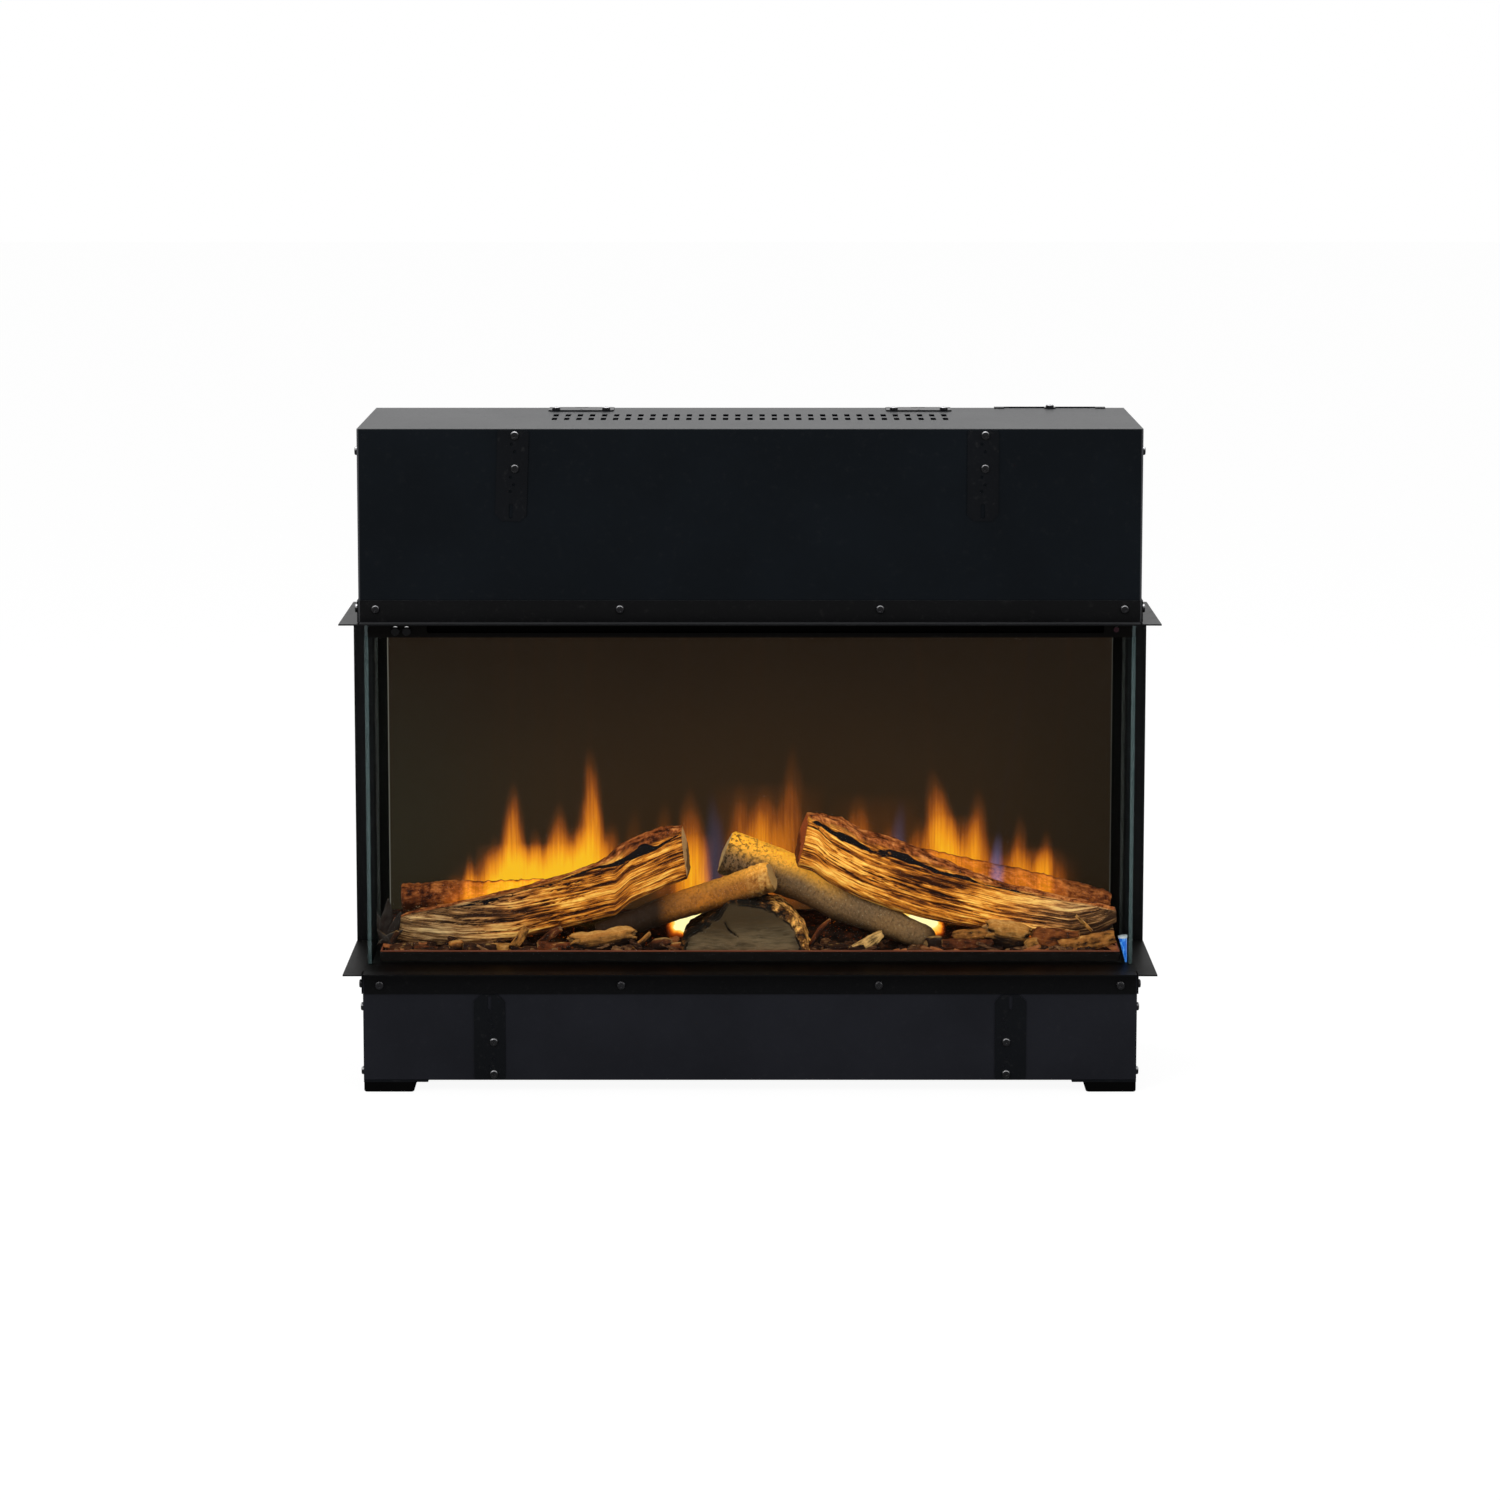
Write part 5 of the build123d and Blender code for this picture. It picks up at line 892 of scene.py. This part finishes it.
def carveHalfRound():
    log = halfRound
    bar = roundBar("halfRoundLog", 200, 46, 30)
    angle, middle, along = readBar(bar)
    seed = log["seed"]
    side = steps(middle, 0.985, 0.999)
    depth = log["face"] + (log["back"] - log["face"]) * along
    spot = np.stack([np.cos(angle) * log["radius"], depth, np.sin(angle) * log["radius"]], 1)
    crumbs = rough(spot, 0.16, seed, 4) - 0.5
    knobs = rough(spot, 0.055, seed + 6, 2) - 0.5
    right = np.cos(angle)
    lean = 6.5 * steps(right, 0.2, 0.75) - 9.5 * steps(right, -0.15, -0.5) * steps(right, -0.95, -0.7)
    reach = log["radius"] + 6.5 * crumbs + 6.0 * knobs - 3.0 + lean
    flat = np.stack([right * middle, 0 * angle, np.sin(angle) * middle], 1) * log["radius"]
    flatX, flatZ = flat[:, 0], flat[:, 2]
    sawn = rough(flat, (0.05, 1, 0.25), seed + 14, 3) - 0.5
    wide = 0.045 + 0.05 * steps(right, -0.2, 0.8) + 0.08 * knobs
    rim = steps(middle, 1 - wide - 0.025, 1 - wide)
    seam = 1 - steps(np.abs(middle - (1 - wide - 0.03)), 0.004, 0.018)
    bend = flatX + 20 - 9 * ((flatZ - 50) / 20) ** 2 + 0.3 * (flatZ - 45)
    crack = (1 - steps(np.hypot(bend, 0.02 * (flatZ - 45)), 0.5, 1.6)) * window(flatZ, 26, 30, 50, 54)
    onFace = (1 - side) * (along < 0.5)
    depth = depth + onFace * (0.7 * sawn + rim * (5.0 * crumbs + 0.4) + 1.6 * seam + 3.2 * crack)
    depth = depth + (1 - side) * (along > 0.5) * sawn
    x = log["x"] + right * reach * middle
    z = np.maximum(log["z"] + np.sin(angle) * reach * middle, log["foot"])
    relief = np.where(side + onFace * rim > 0.5, 0.5 + crumbs + 0.5 * knobs, 0.5 + sawn)
    writeShape(bar, np.stack([x, frontY / mm + depth, z], 1), relief=relief,
               rim=np.clip(side + (1 - side) * rim, 0, 1), crack=np.maximum(crack, seam * 0.8) * onFace,
               low=steps(flatZ, 62, 8), wide=np.abs(flatX) / log["radius"])
    return bar


def sawnWood():
    look = {"grey": (0.13, 0.083, 0.04), "brown": (0.1, 0.055, 0.022), "pale": (0.3, 0.2, 0.11),
            "dark": (0.008, 0.005, 0.003), "crust": (0.13, 0.045, 0.01), "gold": (0.85, 0.4, 0.09)}
    paint = Paint("sawnWood")
    x, y, z = paint.axes()
    saw = paint.streaks((90, 10, 500), detail=4.0)
    cloud = paint.noise(30.0)
    relief = paint.painted("relief")
    face = paint.mix(cloud.rise(0.35, 0.62), look["grey"], look["brown"])
    pale = paint.mix(0.4, face, look["pale"])
    face = paint.mix(paint.painted("low").rise(0.1, 1.0), shade(look["brown"], 0.55), pale)
    face = paint.mix((saw * 0.7 + relief * 0.5).rise(0.3, 0.75), shade(look["grey"], 0.4), face)
    face = paint.mix(paint.painted("wide").rise(0.66, 0.95) * 0.7, face, look["dark"])
    # painted highlight: the rim turns gold towards the right; the log glows faintly, the rim more on the right, as
    # painted light
    warmLight = x.rise(-0.01, 0.05)
    crumbs = paint.noise(260.0, detail=5.0, roughness=0.7)
    rind = paint.ramp(relief * 0.9 + crumbs * 1.1 - 0.78 + warmLight * 0.36,
                      [(0.36, look["dark"]), (0.56, look["crust"]), (0.8, look["gold"])])
    tone = paint.mix(paint.painted("rim"), face, rind)
    tone = paint.mix(paint.painted("crack").rise(0.2, 0.6), tone, look["dark"])
    return paint.surface(
        colour=tone, roughness=0.88 - 0.15 * saw, shine=0.1,
        glow=paint.mix(0.05 + 0.3 * warmLight * paint.painted("rim"), black, tone),
        normal=paint.bump(saw * 0.4 + crumbs * paint.painted("rim"), 1.0))


seat(carveHalfRound(), sawnWood(), "cut_log", "half_round_log")
print("stage: half-round log carved")

# Ember bed
emberBed = {"columns": 380, "rows": 66, "seed": 131, "bottom": 134.0, "skin": 1.0}


def layEmbers():
    bed = emberBed
    low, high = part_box("ember_bed")
    bpy.ops.object.select_all(action="DESELECT")
    bpy.ops.mesh.primitive_grid_add(x_subdivisions=bed["columns"], y_subdivisions=bed["rows"], size=1)
    piece = bpy.context.object
    piece.name = "emberBed"
    spots = readSpots(piece)
    x = (low.x + (spots[:, 0] + 0.5) * (high.x - low.x)) / mm
    y = (low.y + (spots[:, 1] + 0.5) * (high.y - low.y)) / mm
    ground = np.interp(y - frontY / mm, [58, 98, 132, 199], [139.5, 139.5, 158, 164])
    spot = np.stack([x, y, 0 * x], 1)
    lumps = rough(spot, 0.09, bed["seed"], 3)
    stones = rough(spot, 0.045, bed["seed"] + 4, 2)
    border = np.minimum.reduce([x - low.x / mm, high.x / mm - x, y - low.y / mm, high.y / mm - y])
    lift = (7 * (lumps - 0.5) + 5 * (stones - 0.5)) * steps(border, 0, 8)
    z = np.minimum(ground + lift, high.z / mm)
    writeShape(piece, np.stack([x, y, z], 1))
    bpy.ops.object.mode_set(mode="EDIT")
    bpy.ops.mesh.select_all(action="SELECT")
    bpy.ops.mesh.extrude_region_move(TRANSFORM_OT_translate={"value": (0, 0, -bed["skin"] * mm)})
    bpy.ops.transform.resize(value=(1, 1, 0), center_override=(0, 0, bed["bottom"] * mm))
    faceOutward()
    return piece


def emberGlow():
    look = {"ash": (0.02, 0.01, 0.006), "char": (0.004, 0.0022, 0.0016), "rust": (0.11, 0.025, 0.006),
            "spots": [(-290, 46, 1.0), (-56, 35, 1.4), (181, 32, 1.15), (330, 36, 1.0)],        # x, half width, power
            "hot": [(0.0, black), (0.25, (0.3, 0.04, 0.003)), (0.5, (0.9, 0.26, 0.012)),
                    (0.85, (1.0, 0.62, 0.1)), (1.0, (1.0, 0.85, 0.4))]}
    paint = Paint("emberGlow")
    x, y, z = paint.axes()
    depth = (y - frontY) / mm
    lump = paint.noise(95.0, detail=5.0, roughness=0.65)
    fleck = paint.cells(330.0).rise(0.26, 0.1)
    tone = paint.ramp(lump, [(0.36, look["char"]), (0.54, look["ash"]), (0.7, look["rust"])])
    pulse = paint.noise(16.0)

    def spot(place, half, power):
        across = (x / mm - place) / half
        return (1.0 - across * across + 0.5 * (lump - 0.5)).rise(-0.1, 0.75) * power

    coals = paint.cells(70.0).rise(0.7, 0.2)
    heat = depth.rise(110, 132) * sum(spot(*row) for row in look["spots"]) * (0.6 + 0.95 * pulse + 0.6 * coals)
    heat = heat * (1.35 - 0.75 * lump) * (1.0 - 0.45 * depth.rise(150, 190))
    sparks = fleck * pulse.rise(0.46, 0.58) * lump.rise(0.52, 0.4) * 0.42
    return paint.surface(
        colour=tone, roughness=0.9 - 0.1 * lump, shine=0.1, glow=paint.ramp(heat + sparks, look["hot"]),
        power=1.3, normal=paint.bump(lump, 1.5))


seat(layEmbers(), emberGlow(), "ember_resin", "ember_bed")
print("stage: ember bed laid")

# Chips, sticks and twigs at the front
chips = {"count": 210, "seed": 7, "front": 59.5, "depth": 30.0, "ground": 139.6, "reach": 393, "edge": 398,
         "clearOf": (-8.5, 66)}       # middle and half width of the half-round log
# length, width, height (mm), seed
chipMoulds = [(20, 7, 4, 11), (14, 8, 5, 21), (26, 5, 4, 31), (10, 8, 6, 41), (18, 9, 3, 51), (12, 5, 4, 61)]
woodSpace = {"left": -405, "right": 399, "front": 58.8, "foot": 139.5}     # mm; front is counted from the casing's


def splinter(length, width, height, seed):      # one bark chip: a bar split off along the grain
    bpy.ops.object.select_all(action="DESELECT")
    bpy.ops.mesh.primitive_cube_add(size=1)
    chip = bpy.context.object
    bpy.ops.object.mode_set(mode="EDIT")
    bpy.ops.mesh.select_all(action="SELECT")
    bpy.ops.mesh.bevel(offset=0.16, segments=1, affect="EDGES")
    bpy.ops.mesh.subdivide(number_cuts=2)
    bpy.ops.object.mode_set(mode="OBJECT")
    spots = readSpots(chip) * (length, width, height)
    bulk = min(width, height)
    spots[:, 0] += bulk * 1.2 * (rough(spots, 0.35, seed, 2) - 0.5)
    spots[:, 1] += bulk * 0.8 * (rough(spots, 0.3, seed + 1, 2) - 0.5)
    spots[:, 2] += bulk * 0.8 * (rough(spots, 0.3, seed + 2, 2) - 0.5)
    writeSpots(chip, spots)
    return chip


def scatterChips():
    dice = np.random.default_rng(chips["seed"])
    moulds = [splinter(*row) for row in chipMoulds]
    middle, half = chips["clearOf"]
    copies = []
    for i in range(chips["count"]):
        mould = moulds[dice.integers(len(moulds))]
        x = dice.uniform(-chips["reach"], chips["reach"])
        back = dice.uniform(0, 1) ** 1.3
        if abs(x - middle) < half:
            continue
        chip = bpy.data.objects.new("chip", mould.data.copy())
        bpy.context.scene.collection.objects.link(chip)
        turn = Euler((dice.uniform(-0.6, 0.6), dice.uniform(-0.35, 0.5), dice.uniform(-0.7, 0.7)))
        chip.data.transform(turn.to_matrix().to_4x4() @ Matrix.Scale(dice.uniform(0.7, 1.2), 4))
        spots = readSpots(chip)
        spots += (x, frontY / mm + chips["front"] + chips["depth"] * back,
                  chips["ground"] - spots[:, 2].min() * 0.75 + 4 * back)
        spots[:, 0] = np.clip(spots[:, 0], -chips["edge"], chips["edge"])
        spots[:, 1] = np.maximum(spots[:, 1], frontY / mm + woodSpace["front"])
        writeSpots(chip, spots * mm)
        markSpots(chip, "kind", np.full(len(spots), dice.uniform(0, 1)))
        copies.append(chip)
    for mould in moulds:
        bpy.data.objects.remove(mould)
    return joined("barkChips", copies)


def chipBark():
    look = {"dark": (0.012, 0.004, 0.002), "brown": (0.09, 0.034, 0.014), "tan": (0.36, 0.17, 0.065),
            "ember": (0.3, 0.06, 0.01)}
    paint = Paint("chipBark")
    kind = paint.painted("kind")
    fibre = paint.streaks((120, 420, 420), detail=4.0, roughness=0.68)
    tone = paint.ramp(fibre * 1.3 + kind * 0.5 - 0.45,
                      [(0.25, look["dark"]), (0.5, look["brown"]), (0.8, look["tan"])])
    red = kind.rise(0.84, 0.9)
    tone = paint.mix(red * fibre, tone, look["ember"])
    # painted light: every chip glows faintly, the red ones more
    return paint.surface(
        colour=tone, roughness=0.85 - 0.15 * fibre, shine=0.1, glow=paint.mix(0.06 + red * 0.2, black, tone),
        normal=paint.bump(fibre, 0.6))


seat(scatterChips(), chipBark(), "bark", "bark_chips")
print("stage: chips scattered")

# Larger bits of wood along the front edge
# rows: middle x, depth, z, length, width, height (mm), rise and swing (degrees), squareness, tint, seed
frontWood = {
    "orangeKnot": (-319, 69, 147, 17, 12, 12, 4, 10, 0.2, 0.55, 1),
    "darkBark": (-293, 66, 146.5, 34, 9, 10, -6, 6, 0.8, 0.16, 2),
    "goldShred": (-271, 69, 146, 24, 8, 9, 8, -8, 0.7, 0.68, 3),
    "standingSplit": (-252, 68, 153, 34, 8, 9, 52, 12, 0.9, 0.62, 4),
    "leaningSplit": (-217, 74, 156, 30, 7, 8, 34, -14, 0.9, 0.3, 5),
    "redBark": (-211, 67, 146.5, 38, 10, 11, 3, 5, 0.8, 0.34, 6),
    "brownBark": (-238, 64, 144, 18, 8, 7, -4, 16, 0.7, 0.22, 16),
    "mossBranch": (-160, 73, 152.5, 70, 22, 24, 5, 5, 0.1, 0.64, 7),
    "paleStick": (-121, 66, 151, 33, 6, 6, 38, 8, 0.4, 0.6, 8),
    "redLump": (-96, 70, 148, 24, 12, 14, 14, -20, 0.3, 0.24, 9),
    "emberLump": (-80, 66, 146, 15, 9, 10, 4, 12, 0.3, 0.4, 19),
    "redStick": (76, 74, 160, 36, 6, 6, 54, 10, 0.3, 0.36, 10),
    "darkShard": (96, 68, 146, 22, 8, 9, -8, -12, 0.7, 0.12, 20),
    "paleSplit": (126, 68, 151, 37, 12, 12, 30, 8, 0.7, 0.78, 11),
    "duskLump": (200, 72, 149, 20, 14, 16, 2, 14, 0.3, 0.1, 12),
    "stripedWood": (236, 67, 148, 54, 10, 12, 2, 3, 0.9, 0.28, 13),
    "raggedBark": (243, 77, 159, 44, 10, 11, 7, -4, 0.6, 0.6, 14),
    "smallLog": (279, 78, 157, 47, 30, 32, -6, 6, 0.15, 0.66, 15),
    "tanBlock": (306, 66, 148, 13, 10, 15, 20, 10, 0.8, 0.66, 17),
    "brownBlock": (332, 76, 152, 50, 13, 26, 0, -4, 0.8, 0.42, 18),
    "pinkWood": (366, 67, 149, 60, 9, 17, 12, 4, 0.9, 0.58, 21),
    "crossTwig": (363, 70, 172, 26, 4, 4, -42, 6, 0.6, 0.66, 22),
    "cornerTwig": (389, 72, 152, 28, 5, 5, 74, 8, 0.4, 0.22, 23),
    "leftTwig": (-388, 70, 151, 26, 5, 6, 62, 12, 0.4, 0.2, 24),
    "leftBark": (-378, 66, 146, 26, 10, 10, 8, -10, 0.7, 0.2, 25),
    "leftShard": (-350, 66, 144, 30, 8, 7, -4, 8, 0.8, 0.3, 26),
    "leafSpine": (-395, 73, 171, 54, 3, 13, 82, 12, 0.2, 0.02, 31),
    "leafLeft": (-400, 75, 166, 38, 3, 10, 106, -6, 0.2, 0.0, 32),
    "leafRight": (-388, 74, 166, 38, 3, 11, 58, 10, 0.2, 0.03, 33),
    "leafLow": (-390, 71, 155, 32, 3, 10, 30, 16, 0.2, 0.01, 34),
    "leafCurl": (-397, 69, 153, 26, 3, 9, 128, -12, 0.2, 0.04, 35),
    "leafTip": (-392, 76, 180, 30, 3, 8, 96, 20, 0.2, 0.02, 36),
}


def turned(a, b, degrees):
    cos, sin = math.cos(math.radians(degrees)), math.sin(math.radians(degrees))
    return a * cos - b * sin, a * sin + b * cos


def carveBit(name, row):
    x, depth, z, length, width, height, rise, swing, square, tint, seed = row
    rounded = square < 0.5
    bar = roundBar(name, 28 if rounded else 20, max(8, int(length / 2)), 3)
    angle, middle, along = readBar(bar)
    spot = np.stack([along * length, np.cos(angle) * width / 2, np.sin(angle) * height / 2], 1)
    box = np.maximum(np.abs(np.cos(angle)), np.abs(np.sin(angle))) ** -square
    taper, power = 0.55 - 0.35 * square, 5 if rounded else 3
    if tint < 0.06:     # the dried leaf's blades
        taper, power = 0.9, 1.6
    taper = 1 - taper * np.abs(2 * along - 1) ** power
    bumps = rough(spot, 0.16, seed + 200, 3) - 0.5
    fibre = rough(spot * np.array((0.16, 1.0, 1.0)), 0.5, seed + 230, 2) - 0.5
    reach = (box * taper + (0.16 if rounded else 0.4) * bumps + 0.2 * fibre) * middle
    across, up = np.cos(angle) * reach * width / 2, np.sin(angle) * reach * height / 2
    torn = rough(np.stack([0 * along, across, up], 1), 0.35, seed + 260, 2) - 0.5
    ahead = (along - 0.5) * (length + 1.1 * min(width, height) * torn)
    up = up + 0.12 * length * (rough(spot * np.array((1, 0, 0)), 0.05, seed + 280, 1) - 0.5)
    ahead, up = turned(ahead, up, rise)
    ahead, across = turned(ahead, across, swing)
    spots = np.stack([np.clip(x + ahead, woodSpace["left"], woodSpace["right"]),
                      frontY / mm + np.maximum(depth + across, woodSpace["front"]),
                      np.maximum(z + up, woodSpace["foot"])], 1)
    writeShape(bar, spots, grain=np.stack([along * length, angle * width / 3, middle * 8], 1) * mm,
               relief=0.5 + bumps + 0.6 * fibre, tint=np.full(len(along), tint),
               smooth=np.full(len(along), float(rounded)), endGrain=1 - steps(middle, 0.97, 0.999))
    return bar


def bitWood():
    shades = [(0.0, (0.05, 0.045, 0.04)), (0.1, (0.02, 0.007, 0.003)), (0.2, (0.05, 0.016, 0.006)),
              (0.36, (0.16, 0.036, 0.009)), (0.5, (0.3, 0.085, 0.018)), (0.66, (0.5, 0.2, 0.04)),
              (0.8, (0.75, 0.42, 0.14))]
    look = {"groove": (0.008, 0.003, 0.0015), "crestHighlight": (0.9, 0.5, 0.15), "cut": (0.5, 0.26, 0.09)}
    paint = Paint("bitWood")
    grain = paint.painted("grain", "Vector")
    relief = paint.painted("relief")
    fine = paint.streaks((90, 900, 90), grain, detail=4.0, roughness=0.68)
    patch = paint.noise(130.0, detail=4.0, roughness=0.65)
    base = paint.ramp(paint.painted("tint") + patch * 0.3 - 0.15, shades)
    upward = paint.facing()
    smooth = paint.painted("smooth")
    # painted light and shade: besides the wood's own grain, grooves darken and crests and upward faces lighten; the
    # crest colour is a painted highlight
    torn = relief * 0.6 + fine * 1.1 + patch * 0.35 + upward * 0.08 - 0.52
    even = upward * 0.5 + fine * 0.55 + patch * 0.3 - 0.08
    light = torn * (1.0 - smooth) + even * smooth
    tone = paint.mix(light.rise(0.2, 0.72), look["groove"], base)
    tone = paint.mix(light.rise(0.66, 0.95) * 0.55, tone, look["crestHighlight"])
    tone = paint.mix(paint.painted("endGrain") * 0.4, tone, look["cut"])
    # painted light: the bits glow faintly
    return paint.surface(
        colour=tone, roughness=0.85 - 0.15 * fine, shine=0.1, glow=paint.mix(0.12, black, tone),
        normal=paint.bump(fine * 0.7 + patch * 0.5, 0.8))


frontPiece = joined("frontWood", [carveBit(name, row) for name, row in frontWood.items()])
seat(frontPiece, bitWood(), "bark", "bark_chips")
print("stage: larger wood laid along the front")

# Floor, lights, camera
lamps = {
    "keyLamp": {"at": (-2.2, -3.4, 2.6), "size": 2.4, "power": 95},
    "fillLamp": {"at": (2.8, -3.0, 1.8), "size": 2.4, "power": 45},
    "topLamp": {"at": (0.0, 0.6, 3.0), "size": 2.2, "power": 35},
}
lampTarget = (0.0, 0.0, 0.35)
view = {"at": (0.0, -5.3745, 1.147), "target": (0.0, -0.1395, 0.3718), "lens": 119.33, "sensor": 36, "far": 100}
room = {"floorSize": 40, "dull": (0.88, 0.88, 0.88), "pale": (0.92, 0.92, 0.92), "white": (1.0, 1.0, 1.0),
        "floorGlow": 1.06, "floorShare": 0.88, "sky": (0.5, 0.5, 0.5)}


def stand(name, data, at, target):
    holder = bpy.data.objects.new(name, data)
    bpy.context.scene.collection.objects.link(holder)
    holder.location = at
    holder.rotation_euler = (Vector(target) - Vector(at)).to_track_quat("-Z", "Y").to_euler()
    return holder


def studio():
    paint = Paint("paleFloor")
    speck = paint.noise(40.0)
    seen = paint.node("ShaderNodeLightPath", output="Is Camera Ray") * room["floorShare"]
    matt = paint.node("ShaderNodeBsdfDiffuse", None, {0: paint.mix(speck, room["dull"], room["pale"])})
    white = paint.node("ShaderNodeEmission", None, {0: room["white"], 1: room["floorGlow"]})
    bpy.ops.mesh.primitive_plane_add(size=room["floorSize"])
    floor = bpy.context.object
    floor.name = "studioFloor"
    floor.data.materials.append(paint.finish(paint.node("ShaderNodeMixShader", None, {0: seen, 1: matt, 2: white})))

    sky = Paint("studioSky", sky=True)
    direct, mirrored, through = (sky.node("ShaderNodeLightPath", output="Is " + ray + " Ray")
                                 for ray in ("Camera", "Glossy", "Transmission"))
    plain = sky.node("ShaderNodeBackground", None, {0: room["sky"]})
    bright = sky.node("ShaderNodeBackground", None, {0: room["white"]})
    shown = sky.node("ShaderNodeMixShader", None, {0: direct.least(mirrored).least(through), 1: plain, 2: bright})
    bpy.context.scene.world = sky.finish(shown, "ShaderNodeOutputWorld")

    for name, lamp in lamps.items():
        light = bpy.data.lights.new(name, "AREA")
        light.energy = lamp["power"]
        light.size = lamp["size"]
        stand(name, light, lamp["at"], lampTarget)

    camera = bpy.data.cameras.new("photoCamera")
    camera.lens = view["lens"]
    camera.sensor_width = view["sensor"]
    camera.clip_end = view["far"]
    bpy.context.scene.camera = stand("photoCamera", camera, view["at"], view["target"])
    bpy.context.scene.view_settings.view_transform = "Standard"


studio()
print("stage: studio set")
